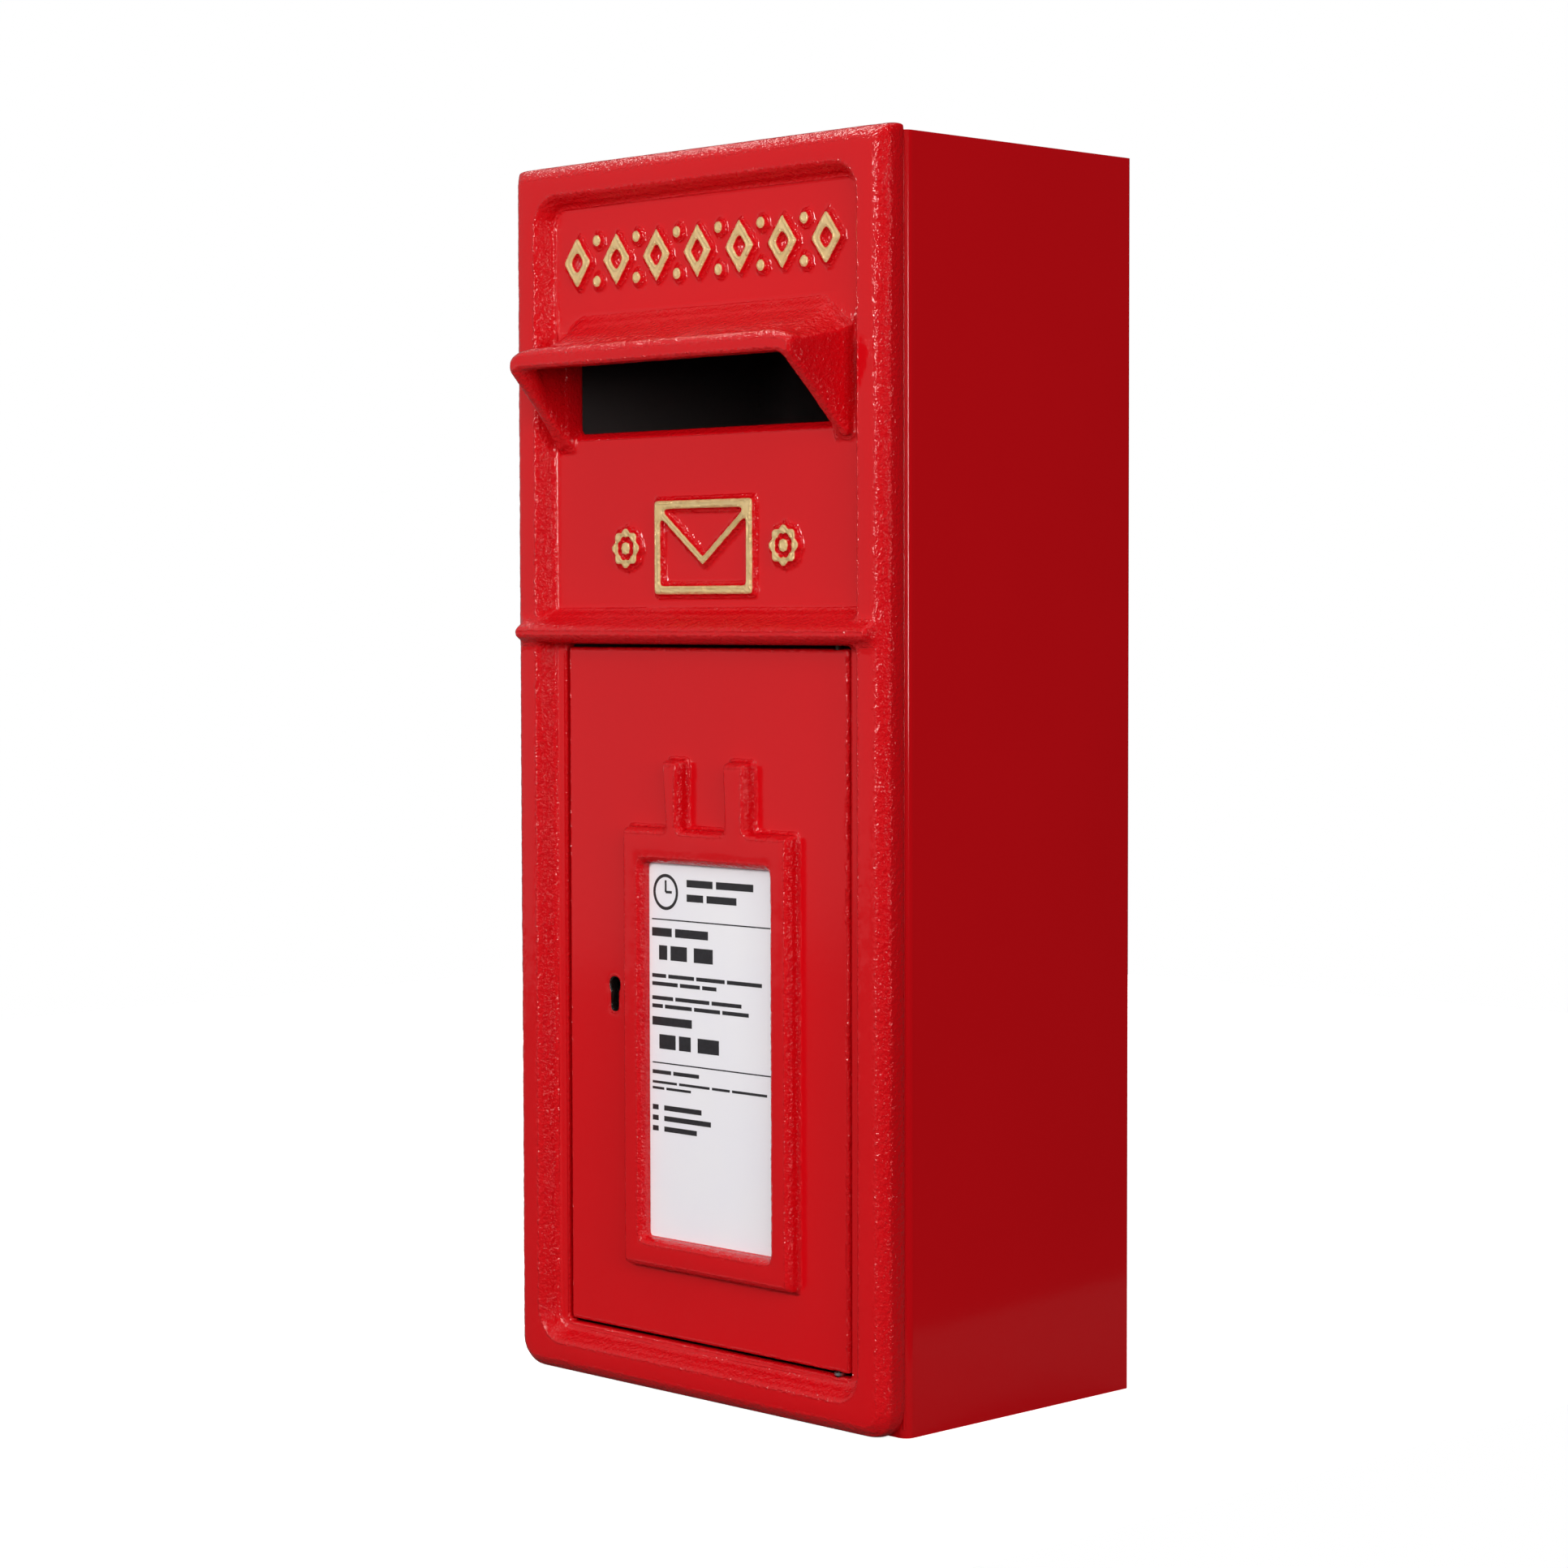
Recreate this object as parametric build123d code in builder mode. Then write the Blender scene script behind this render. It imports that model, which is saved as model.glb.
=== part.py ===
"""Wall-mounted post box: a cast front with a hooded letter slot on a folded sheet-steel box.

Millimetres. +Z up, the front faces -Y, +X is to the right seen from the front.
The origin is under the middle of the whole box, on the level of its base.
"""

from build123d import *
import math
import os

# Overall sizes
box_width = 250.0
box_height = 580.0
shell_depth = 152.3
casting_depth = 14.8
hood_reach = 28.6

# Sheet-steel box
sheet = 1.5
shell_side_inset = 0.5
shell_top_drop = 2.6
shell_front_bend = 4.5
shell_back_bend = 2.0
flange_width = 20.0

# Holes for the wall fixings
wall_hole_radius = 4.0
wall_hole_side_inset = 45.0
wall_hole_end_inset = 70.0

# Cast front: rim, recess and door opening
rim_front_round = 8.0
bottom_corner_radius = 13.0
rim_width = 22.0
bottom_rim_height = 19.8
top_rim_height = 20.0
recess = 9.0
recess_side_slope = 3.9
recess_corner_radius = 9.0
rim_inner_round = 2.6
opening_side_inset = 29.2
door_opening_bottom = 23.8
opening_top_drop = 228.0
opening_corner_radius = 1.2

# Drip ledge over the door
ledge_height = 16.0
ledge_nose_top = 7.8
ledge_nose_bottom = 2.8
ledge_reach = 6.0
ledge_end_inset = 6.0
ledge_round = 1.4

# Hood over the letter slot
hood_top_drop = 73.0
hood_lip_height = 7.0
hood_lip_drop = 99.8
hood_foot_drop = 136.5
hood_side_gap = 4.0
hood_side_taper = 4.0
hood_sag = 3.2
hood_round = 2.4
hood_wall = 8.5
cheek_wall = 6.6
sill_front_drop = 131.0
sill_back_drop = 127.0

# Raised ornament
relief = 3.5
relief_round = 0.8
band_drop = 47.0
band_height = 25.0
band_side_gap = 10.0
lozenge_count = 7
lozenge_width = 19.0
lozenge_hole_share = 0.45
pellet_radius = 2.9
emblem_mid_x = 3.0
emblem_drop = 183.0
emblem_width = 66.0
emblem_height = 44.0
emblem_stroke = 4.2
rosette_offset = 53.0
rosette_pellets = 8
rosette_ring_radius = 7.4
rosette_pellet_radius = 2.4
rosette_centre_radius = 3.2

# Door
door_gap = 1.5
leaf_thickness = 6.0
leaf_round = 0.7
hinge_inset = 8.0
pin_radius = 1.75
running_clearance = 0.05
pin_engagement = 12.0
pin_tip_clearance = 1.0
washer_radius = 2.8
washer_play = 0.3

# Notice frame cast on the door
window_left_inset = 58.2
window_right_inset = 44.4
window_bottom = 72.5
frame_side = 13.0
frame_bottom = 14.0
frame_top = 16.5
frame_rise = 8.0
frame_inner_slope = 6.0
frame_taper = 6.0
frame_round = 2.8
prong_height = 32.0
prong_top_drop = 52.3
left_prong_offset = -21.5
left_prong_foot = 8.6
left_prong_head = 12.2
left_prong_lean = -1.2
right_prong_offset = 20.7
right_prong_foot = 14.0
right_prong_head = 15.2
right_prong_lean = -0.6
card_thickness = 1.0
card_clearance = 0.15

# Keyhole
keyhole_backset = 32.3
keyhole_z = 189.8
keyhole_radius = 3.5
keyhole_slot = 4.3
keyhole_drop = 12.4

# Lock
lock_width = 56.0
lock_left_inset = 4.0
lock_below_key = 30.0
lock_height = 70.0
lock_depth = 14.0
lock_wall = 1.5
lock_screw_inset = 6.0
lock_post_radius = 4.0
lock_screw_radius = 2.0
lock_screw_grip = 4.2
bolt_throw = 9.0
bolt_height = 21.0
bolt_above_key = 8.2
bolt_play = 0.4
bolt_end_inset = 0.5
bolt_length = 48.0
talon_width = 9.0
talon_height = 6.0
guide_pin_radius = 2.0
guide_pin_play = 0.2
guide_from_tail = 17.0
spring_leaf = 0.5
spring_width = 6.0
spring_length = 22.0
spring_from_tail = 3.0
spring_play = 0.3

# Screws that hold the casting on the box
casting_screw_radius = 2.5
casting_screw_grip = 9.0
casting_screw_hole_play = 0.5
side_screw_count = 4
side_screw_end_inset = 70.0
head_radius_ratio = 1.8
head_height_ratio = 0.75
washer_thickness = 1.0
washer_ratio = 2.2
socket_ratio = 0.55
socket_depth_ratio = 0.55

# Levels along Y, from the wall to the lip of the hood
total_depth = shell_depth + casting_depth + hood_reach
wall_y = total_depth / 2
seam_y = wall_y - shell_depth
crown_y = seam_y - casting_depth
lip_y = crown_y - hood_reach
face_y = crown_y + recess
panel_thickness = casting_depth - recess

# Widths and heights of the sheet box
wall_hole_spacing_x = box_width - 2 * wall_hole_side_inset
wall_hole_spacing_z = box_height - 2 * wall_hole_end_inset
shell_half = box_width / 2 - shell_side_inset
shell_height = box_height - shell_top_drop
shell_inner_half = shell_half - sheet
flange_inner_half = shell_half - flange_width
flange_back_y = seam_y + sheet

# Cast front: half width of the recess, height of the door opening and of the hood's edges
recess_half = box_width / 2 - rim_width
opening_half = box_width / 2 - opening_side_inset
door_opening_top = box_height - opening_top_drop
hood_base_half = recess_half - hood_side_gap
hood_lip_half = hood_base_half - hood_side_taper
slot_half_width = hood_lip_half - cheek_wall
hood_top_z = box_height - hood_top_drop
hood_lip_z = box_height - hood_lip_drop
hood_foot_z = box_height - hood_foot_drop
slot_sill_front_z = box_height - sill_front_drop
slot_sill_back_z = box_height - sill_back_drop
ledge_half_length = box_width / 2 - ledge_end_inset
band_half_length = recess_half - band_side_gap
band_mid_z = box_height - band_drop
emblem_mid_z = box_height - emblem_drop

# Door edges, keyhole and notice window
door_half = opening_half - door_gap
door_bottom = door_opening_bottom + door_gap
door_top = door_opening_top - door_gap
hinge_x = door_half - hinge_inset
hinge_y = face_y + leaf_thickness / 2
leaf_back_y = face_y + leaf_thickness
keyhole_x = -door_half + keyhole_backset
window_left = -door_half + window_left_inset
window_width = 2 * door_half - window_left_inset - window_right_inset
window_mid_x = window_left + window_width / 2
window_top = door_top - prong_top_drop - prong_height - frame_top
window_height = window_top - window_bottom

os.makedirs("parts", exist_ok=True)


def facing_front(y):
    """Plane square to Y at the given Y: local x is X, local y is Z, and it looks to the front."""
    return Plane.XZ.offset(-y)


def finish(part, name):
    """Label a finished piece and write it under its own name."""
    part.label = name
    export_step(part, "parts/" + name + ".step")


# Casting screws: two upright rows, and one screw each in the middle of the top and the base
side_screw_step = (box_height - 2 * side_screw_end_inset) / (side_screw_count - 1)
side_screw_x = shell_half - flange_width / 2
top_screw_z = shell_height - flange_width / 2
base_screw_z = flange_width / 2
casting_screw_spots = [
    (side * side_screw_x, side_screw_end_inset + side_screw_step * row)
    for side in (-1, 1)
    for row in range(side_screw_count)
]
casting_screw_spots += [(0, top_screw_z), (0, base_screw_z)]

# Folded wrap: back, two sides and the flanges turned in behind the casting
with BuildPart() as body_wrap:
    with BuildSketch(Plane.XY):
        with BuildLine():
            Polyline(
                (-flange_inner_half, flange_back_y),
                (-flange_inner_half, seam_y),
                (-shell_half, seam_y),
                (-shell_half, wall_y),
                (shell_half, wall_y),
                (shell_half, seam_y),
                (flange_inner_half, seam_y),
                (flange_inner_half, flange_back_y),
                (shell_inner_half, flange_back_y),
                (shell_inner_half, wall_y - sheet),
                (-shell_inner_half, wall_y - sheet),
                (-shell_inner_half, flange_back_y),
                close=True,
            )
        make_face()
    extrude(amount=shell_height)
    upright = body_wrap.edges().filter_by(Axis.Z)
    front_outer = upright.filter_by(lambda e: abs(e.center().Y - seam_y) < 0.1).filter_by(
        lambda e: abs(abs(e.center().X) - shell_half) < 0.1
    )
    fillet(front_outer, shell_front_bend)
    upright = body_wrap.edges().filter_by(Axis.Z)
    front_inner = upright.filter_by(lambda e: abs(e.center().Y - flange_back_y) < 0.1).filter_by(
        lambda e: abs(abs(e.center().X) - shell_inner_half) < 0.1
    )
    fillet(front_inner, shell_front_bend - sheet)
    upright = body_wrap.edges().filter_by(Axis.Z)
    back_outer = upright.filter_by(lambda e: abs(e.center().Y - wall_y) < 0.1)
    fillet(back_outer, shell_back_bend)
    # Four holes for the wall fixings
    with BuildSketch(facing_front(wall_y)):
        with Locations((0, box_height / 2)):
            with GridLocations(wall_hole_spacing_x, wall_hole_spacing_z, 2, 2):
                Circle(wall_hole_radius)
    extrude(amount=sheet, mode=Mode.SUBTRACT)
    # Clearance holes for the casting's side screws
    with BuildSketch(facing_front(flange_back_y)):
        with Locations(*[spot for spot in casting_screw_spots if spot[0] != 0]):
            Circle(casting_screw_radius + casting_screw_hole_play)
    extrude(amount=sheet, mode=Mode.SUBTRACT)
finish(body_wrap.part, "body_wrap")


def end_plate(outer_z, turn):
    """Top or base plate, welded in between the sides: turn is -1 for the top, +1 for the base."""
    inner_z = outer_z + turn * sheet
    flange_end_z = outer_z + turn * flange_width
    screw_z = outer_z + turn * flange_width / 2
    with BuildPart() as plate:
        with BuildSketch(Plane.XY.offset(min(outer_z, inner_z))):
            with BuildLine():
                Polyline(
                    (-shell_inner_half, flange_back_y),
                    (-shell_inner_half, wall_y - sheet),
                    (shell_inner_half, wall_y - sheet),
                    (shell_inner_half, flange_back_y),
                    close=True,
                )
            make_face()
        extrude(amount=sheet)
        corners = plate.edges().filter_by(Axis.Z).group_by(Axis.Y)[0]
        fillet(corners, shell_front_bend - sheet)
        with BuildSketch(Plane.YZ.offset(-flange_inner_half)):
            with BuildLine():
                Polyline(
                    (seam_y + shell_front_bend, outer_z),
                    (seam_y, outer_z),
                    (seam_y, flange_end_z),
                    (flange_back_y, flange_end_z),
                    (flange_back_y, inner_z),
                    (seam_y + shell_front_bend, inner_z),
                    close=True,
                )
            make_face()
        extrude(amount=2 * flange_inner_half)
        along = plate.edges().filter_by(Axis.X)
        bend = along.filter_by(lambda e: abs(e.center().Y - seam_y) < 0.1).filter_by(
            lambda e: abs(e.center().Z - outer_z) < 0.1
        )
        fillet(bend, shell_front_bend)
        with BuildSketch(facing_front(flange_back_y)):
            with Locations((0, screw_z)):
                Circle(casting_screw_radius + casting_screw_hole_play)
        extrude(amount=sheet, mode=Mode.SUBTRACT)
    return plate.part


finish(end_plate(shell_height, -1), "top_plate")
finish(end_plate(0, 1), "base_plate")

# Hood: a sloping roof with two cheeks, still solid between them
cheek_embed = panel_thickness / 2
with BuildPart() as hood:
    lip_top_z = hood_lip_z + hood_lip_height
    roof_mid_y = (face_y + lip_y) / 2
    roof_mid_z = (hood_top_z + lip_top_z) / 2 - hood_sag
    with BuildSketch(Plane.YZ.offset(-hood_base_half)):
        with BuildLine():
            ThreePointArc((face_y, hood_top_z), (roof_mid_y, roof_mid_z), (lip_y, lip_top_z))
            Polyline(
                (lip_y, lip_top_z),
                (lip_y, hood_lip_z),
                (face_y, hood_foot_z),
                (face_y + cheek_embed, hood_foot_z),
                (face_y + cheek_embed, hood_top_z),
                (face_y, hood_top_z),
            )
        make_face()
    extrude(amount=2 * hood_base_half)
    with BuildSketch(Plane.XY.offset(hood_foot_z)):
        with BuildLine():
            Polyline(
                (-hood_base_half, face_y + cheek_embed),
                (hood_base_half, face_y + cheek_embed),
                (hood_base_half, face_y),
                (hood_lip_half, lip_y),
                (-hood_lip_half, lip_y),
                (-hood_base_half, face_y),
                close=True,
            )
        make_face()
    extrude(amount=hood_top_z - hood_foot_z, mode=Mode.INTERSECT)
    outside = hood.edges().filter_by(lambda e: e.center().Y < face_y - 0.5)
    fillet(outside, hood_round)


def raise_relief(sketch):
    """Raise a flat ornament from the panel and soften its front edges."""
    with BuildPart() as raised:
        extrude(sketch, amount=relief)
        front_edges = raised.faces().group_by(Axis.Y)[0].edges()
        fillet(front_edges, relief_round)
    return raised.part


def lozenge(width, height, mode=Mode.ADD):
    """Lozenge for the current sketch, standing on its point."""
    Polygon((-width / 2, 0), (0, height / 2), (width / 2, 0), (0, -height / 2), mode=mode)


# Ornament in the upper panel: a row of pierced lozenges with pellets between them
lozenge_step = 2 * (band_half_length - lozenge_width / 2) / (lozenge_count - 1)
with BuildSketch(facing_front(face_y)) as band_sketch:
    with Locations((0, band_mid_z)):
        with GridLocations(lozenge_step, 1, lozenge_count, 1):
            lozenge(lozenge_width, band_height)
            lozenge(lozenge_width * lozenge_hole_share, band_height * lozenge_hole_share, Mode.SUBTRACT)
    pellet_rise = band_height / 2 - pellet_radius
    with Locations((0, band_mid_z)):
        with GridLocations(lozenge_step, 2 * pellet_rise, lozenge_count - 1, 2):
            Circle(pellet_radius)

# Ornament in the lower panel: an envelope between two rosettes
with BuildSketch(facing_front(face_y)) as emblem_sketch:
    with Locations((emblem_mid_x, emblem_mid_z)):
        Rectangle(emblem_width, emblem_height)
        Rectangle(
            emblem_width - 2 * emblem_stroke,
            emblem_height - 2 * emblem_stroke,
            mode=Mode.SUBTRACT,
        )
    flap_half = (emblem_width - emblem_stroke) / 2
    flap_top = emblem_mid_z + (emblem_height - emblem_stroke) / 2
    flap_tip = emblem_mid_z - emblem_stroke
    with BuildLine():
        Polyline(
            (emblem_mid_x - flap_half, flap_top),
            (emblem_mid_x, flap_tip),
            (emblem_mid_x + flap_half, flap_top),
            (emblem_mid_x + flap_half, flap_top - emblem_stroke),
            (emblem_mid_x, flap_tip - emblem_stroke),
            (emblem_mid_x - flap_half, flap_top - emblem_stroke),
            close=True,
        )
    make_face()
    with Locations(
        (emblem_mid_x - rosette_offset, emblem_mid_z),
        (emblem_mid_x + rosette_offset, emblem_mid_z),
    ):
        Circle(rosette_centre_radius)
        with PolarLocations(rosette_ring_radius, rosette_pellets):
            Circle(rosette_pellet_radius)

# Drip ledge, drawn from the side and run across the front
with BuildPart() as ledge:
    with BuildSketch(Plane.YZ.offset(-ledge_half_length)):
        with BuildLine():
            Polyline(
                (face_y + panel_thickness / 2, door_opening_top),
                (crown_y, door_opening_top),
                (crown_y - ledge_reach, door_opening_top + ledge_nose_bottom),
                (crown_y - ledge_reach, door_opening_top + ledge_nose_top),
                (face_y, door_opening_top + ledge_height),
                (face_y + panel_thickness / 2, door_opening_top + ledge_height),
                close=True,
            )
        make_face()
    extrude(amount=2 * ledge_half_length)
    nose = ledge.edges().filter_by(Axis.X).filter_by(lambda e: e.center().Y < crown_y - 1)
    fillet(nose, ledge_round)
    nose_ends = ledge.faces().filter_by(Axis.X).edges()
    fillet(nose_ends.filter_by(lambda e: e.center().Y < crown_y - 0.5), ledge_round)

band_relief = raise_relief(band_sketch.sketch)
emblem_relief = raise_relief(emblem_sketch.sketch)

# Cast front: rim, recessed panel, hood, drip ledge and ornament in one casting
with BuildPart() as front_casting:
    with BuildSketch(facing_front(seam_y)) as outline:
        with Locations((0, box_height / 2)):
            Rectangle(box_width, box_height)
        fillet(outline.vertices().group_by(Axis.Y)[0], bottom_corner_radius)
    extrude(amount=casting_depth)
    fillet(front_casting.faces().sort_by(Axis.Y)[0].edges(), rim_front_round)
    recess_height = box_height - bottom_rim_height - top_rim_height
    recess_taper = math.degrees(math.atan(recess_side_slope / recess))
    with BuildSketch(facing_front(face_y)) as recess_sketch:
        with Locations((0, bottom_rim_height + recess_height / 2)):
            Rectangle(2 * recess_half, recess_height)
        fillet(recess_sketch.vertices(), recess_corner_radius)
    extrude(amount=recess, taper=-recess_taper, mode=Mode.SUBTRACT)
    crown = front_casting.faces().filter_by(Axis.Y).sort_by(Axis.Y)[0]
    fillet(crown.inner_wires()[0].edges(), rim_inner_round)
    with BuildSketch(facing_front(seam_y)) as opening_sketch:
        with Locations((0, (door_opening_bottom + door_opening_top) / 2)):
            Rectangle(2 * opening_half, door_opening_top - door_opening_bottom)
        fillet(opening_sketch.vertices(), opening_corner_radius)
    extrude(amount=panel_thickness, mode=Mode.SUBTRACT)
    add(ledge.part)
    add(hood.part)
    # Letter slot: everything under the hood's roof between its cheeks, and the gap in the panel
    roof_fall = (hood_top_z - hood_wall - hood_lip_z) / (face_y - lip_y)
    past = 2.0
    with BuildSketch(Plane.YZ.offset(-slot_half_width)):
        with BuildLine():
            Polyline(
                (seam_y + past, hood_top_z - hood_wall + roof_fall * (seam_y + past - face_y)),
                (lip_y - past, hood_lip_z - roof_fall * past),
                (lip_y - past, hood_foot_z - past),
                (face_y, hood_foot_z - past),
                (face_y, slot_sill_front_z),
                (seam_y, slot_sill_back_z),
                (seam_y + past, slot_sill_back_z),
                close=True,
            )
        make_face()
    extrude(amount=2 * slot_half_width, mode=Mode.SUBTRACT)
    add(band_relief)
    add(emblem_relief)
    # Tapped blind holes for the casting screws
    with BuildSketch(facing_front(seam_y)):
        with Locations(*casting_screw_spots):
            Circle(casting_screw_radius + running_clearance)
    extrude(amount=casting_screw_grip + pin_tip_clearance / 2, mode=Mode.SUBTRACT)
    # Hinge pin holes: through the bottom rim, and blind in the bar over the door
    with BuildSketch(Plane.XY):
        with Locations((hinge_x, hinge_y)):
            Circle(pin_radius + running_clearance)
    extrude(amount=door_opening_bottom, mode=Mode.SUBTRACT)
    with BuildSketch(Plane.XY.offset(door_opening_top)):
        with Locations((hinge_x, hinge_y)):
            Circle(pin_radius + running_clearance)
    extrude(amount=pin_engagement + pin_tip_clearance, mode=Mode.SUBTRACT)
finish(front_casting.part, "front_casting")

# Edges of the notice frame, and the lock's box behind the keyhole
frame_left = window_left - frame_side
frame_width = window_width + 2 * frame_side
frame_low = window_bottom - frame_bottom
frame_height = window_height + frame_bottom + frame_top
frame_mid_x = frame_left + frame_width / 2
frame_mid_z = frame_low + frame_height / 2
frame_top_z = frame_low + frame_height
window_mid_z = window_bottom + window_height / 2
lock_left = -door_half + lock_left_inset
lock_low = keyhole_z - lock_below_key
lock_mid_x = lock_left + lock_width / 2
lock_mid_z = lock_low + lock_height / 2
lock_back_y = leaf_back_y + lock_depth
lock_screw_reach_x = lock_width / 2 - lock_screw_inset
lock_screw_reach_z = lock_height / 2 - lock_screw_inset
lock_screw_spots = [
    (lock_mid_x + side * lock_screw_reach_x, lock_mid_z + end * lock_screw_reach_z)
    for side in (-1, 1)
    for end in (-1, 1)
]


def prong(mid_x, foot, head, lean):
    """Upright tab on top of the notice frame, a little wider at its head."""
    head_z = frame_top_z + prong_height
    foot_z = frame_top_z - frame_round
    Polygon(
        (mid_x - foot / 2, foot_z),
        (mid_x + foot / 2, foot_z),
        (mid_x + lean + head / 2, head_z),
        (mid_x + lean - head / 2, head_z),
        align=None,
    )


def keyhole():
    """Keyhole outline for the current sketch: a round head over a narrow slot."""
    with Locations((keyhole_x, keyhole_z)):
        Circle(keyhole_radius)
    with Locations((keyhole_x, keyhole_z - keyhole_drop / 2)):
        Rectangle(keyhole_slot, keyhole_drop)


# Notice frame: a cushion-shaped moulding with two upright tabs
with BuildPart() as notice_frame:
    with BuildSketch(facing_front(face_y)):
        with Locations((frame_mid_x, frame_mid_z)):
            Rectangle(frame_width, frame_height)
        prong(window_mid_x + left_prong_offset, left_prong_foot, left_prong_head, left_prong_lean)
        prong(window_mid_x + right_prong_offset, right_prong_foot, right_prong_head, right_prong_lean)
    extrude(amount=frame_rise, taper=frame_taper)
    fillet(notice_frame.faces().group_by(Axis.Y)[0].edges(), frame_round)
    inner_taper = math.degrees(math.atan(frame_inner_slope / frame_rise))
    with BuildSketch(facing_front(face_y)):
        with Locations((window_mid_x, window_mid_z)):
            Rectangle(window_width, window_height)
    extrude(amount=frame_rise, taper=-inner_taper, mode=Mode.SUBTRACT)

# Door: a cast leaf with the notice frame, the keyhole, the pin holes and the lock's tapped holes
with BuildPart() as door:
    with BuildSketch(facing_front(leaf_back_y)):
        with Locations((0, (door_bottom + door_top) / 2)):
            Rectangle(2 * door_half, door_top - door_bottom)
    extrude(amount=leaf_thickness)
    fillet(door.faces().sort_by(Axis.Y)[0].edges(), leaf_round)
    add(notice_frame.part)
    with BuildSketch(facing_front(leaf_back_y)):
        keyhole()
    extrude(amount=leaf_thickness, mode=Mode.SUBTRACT)
    with BuildSketch(facing_front(leaf_back_y)):
        with Locations(*lock_screw_spots):
            Circle(lock_screw_radius + running_clearance)
    extrude(amount=lock_screw_grip + pin_tip_clearance / 2, mode=Mode.SUBTRACT)
    for end_z, turn in ((door_bottom, 1), (door_top, -1)):
        with BuildSketch(Plane.XY.offset(end_z)):
            with Locations((hinge_x, hinge_y)):
                Circle(pin_radius + running_clearance)
        extrude(amount=turn * (pin_engagement + pin_tip_clearance), mode=Mode.SUBTRACT)
finish(door.part, "door")

# Bottom hinge pin: stands in the casting's bottom rim and enters the door
with BuildPart() as hinge_pin_bottom:
    with BuildSketch(Plane.XY.offset(pin_tip_clearance)):
        with Locations((hinge_x, hinge_y)):
            Circle(pin_radius)
    extrude(amount=door_bottom + pin_engagement - pin_tip_clearance)
    chamfer(hinge_pin_bottom.faces().sort_by(Axis.Z)[-1].edges(), pin_radius / 4)
finish(hinge_pin_bottom.part, "hinge_pin_bottom")

# Top hinge pin: fixed in the door and turning in the bar over it
with BuildPart() as hinge_pin_top:
    with BuildSketch(Plane.XY.offset(door_top - pin_engagement)):
        with Locations((hinge_x, hinge_y)):
            Circle(pin_radius)
    extrude(amount=2 * pin_engagement + door_gap)
    chamfer(hinge_pin_top.faces().sort_by(Axis.Z)[-1].edges(), pin_radius / 4)
finish(hinge_pin_top.part, "hinge_pin_top")

# Thrust washer: carries the door's weight round the bottom pin
with BuildPart() as hinge_washer:
    with BuildSketch(Plane.XY.offset(door_opening_bottom)):
        with Locations((hinge_x, hinge_y)):
            Circle(washer_radius)
            Circle(pin_radius + running_clearance, mode=Mode.SUBTRACT)
    extrude(amount=door_gap - washer_play)
finish(hinge_washer.part, "hinge_washer")

# Notice card: a stiff printed plate lying on the door inside the moulding
with BuildPart() as notice_card:
    with BuildSketch(facing_front(face_y)):
        with Locations((window_mid_x, window_mid_z)):
            Rectangle(window_width - 2 * card_clearance, window_height - 2 * card_clearance)
    extrude(amount=card_thickness)
finish(notice_card.part, "notice_card")

# Lock case: a pressed tray with four screw posts, its floor against the door
bolt_low = keyhole_z + bolt_above_key
bolt_high = bolt_low + bolt_height
bolt_front_y = leaf_back_y + lock_wall + bolt_play
bolt_back_y = lock_back_y - lock_wall - bolt_play
bolt_end_x = -door_half + bolt_end_inset
bolt_tail_x = bolt_end_x + bolt_length
guide_x = bolt_tail_x - guide_from_tail
guide_z = (bolt_low + bolt_high) / 2
case_inner_top = lock_low + lock_height - lock_wall
with BuildPart() as lock_case:
    with BuildSketch(facing_front(leaf_back_y + lock_wall)):
        with Locations((lock_mid_x, lock_mid_z)):
            Rectangle(lock_width, lock_height)
        with Locations(*lock_screw_spots):
            Circle(lock_screw_radius + running_clearance, mode=Mode.SUBTRACT)
    extrude(amount=lock_wall)
    with BuildSketch(facing_front(leaf_back_y + lock_wall)):
        keyhole()
    extrude(amount=lock_wall, mode=Mode.SUBTRACT)
    with BuildSketch(facing_front(lock_back_y - lock_wall)):
        with Locations((lock_mid_x, lock_mid_z)):
            Rectangle(lock_width, lock_height)
            Rectangle(lock_width - 2 * lock_wall, lock_height - 2 * lock_wall, mode=Mode.SUBTRACT)
        with Locations(*lock_screw_spots):
            Circle(lock_post_radius)
        with Locations(*lock_screw_spots):
            Circle(lock_screw_radius + running_clearance, mode=Mode.SUBTRACT)
    extrude(amount=lock_depth - 2 * lock_wall)
    # Slot for the bolt in the wall nearest the door's free edge
    with BuildSketch(Plane.YZ.offset(lock_left)):
        with Locations(((bolt_front_y + bolt_back_y) / 2, guide_z)):
            Rectangle(bolt_back_y - bolt_front_y + bolt_play, bolt_height + bolt_play)
    extrude(amount=lock_wall, mode=Mode.SUBTRACT)
finish(lock_case.part, "lock_case")

# Lock cover: the flat plate behind the tray, with a hole for the key's nose
with BuildPart() as lock_cover:
    with BuildSketch(facing_front(lock_back_y)):
        with Locations((lock_mid_x, lock_mid_z)):
            Rectangle(lock_width, lock_height)
        with Locations(*lock_screw_spots):
            Circle(lock_screw_radius + running_clearance, mode=Mode.SUBTRACT)
        with Locations((keyhole_x, keyhole_z)):
            Circle(keyhole_radius, mode=Mode.SUBTRACT)
    extrude(amount=lock_wall)
finish(lock_cover.part, "lock_cover")

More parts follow.
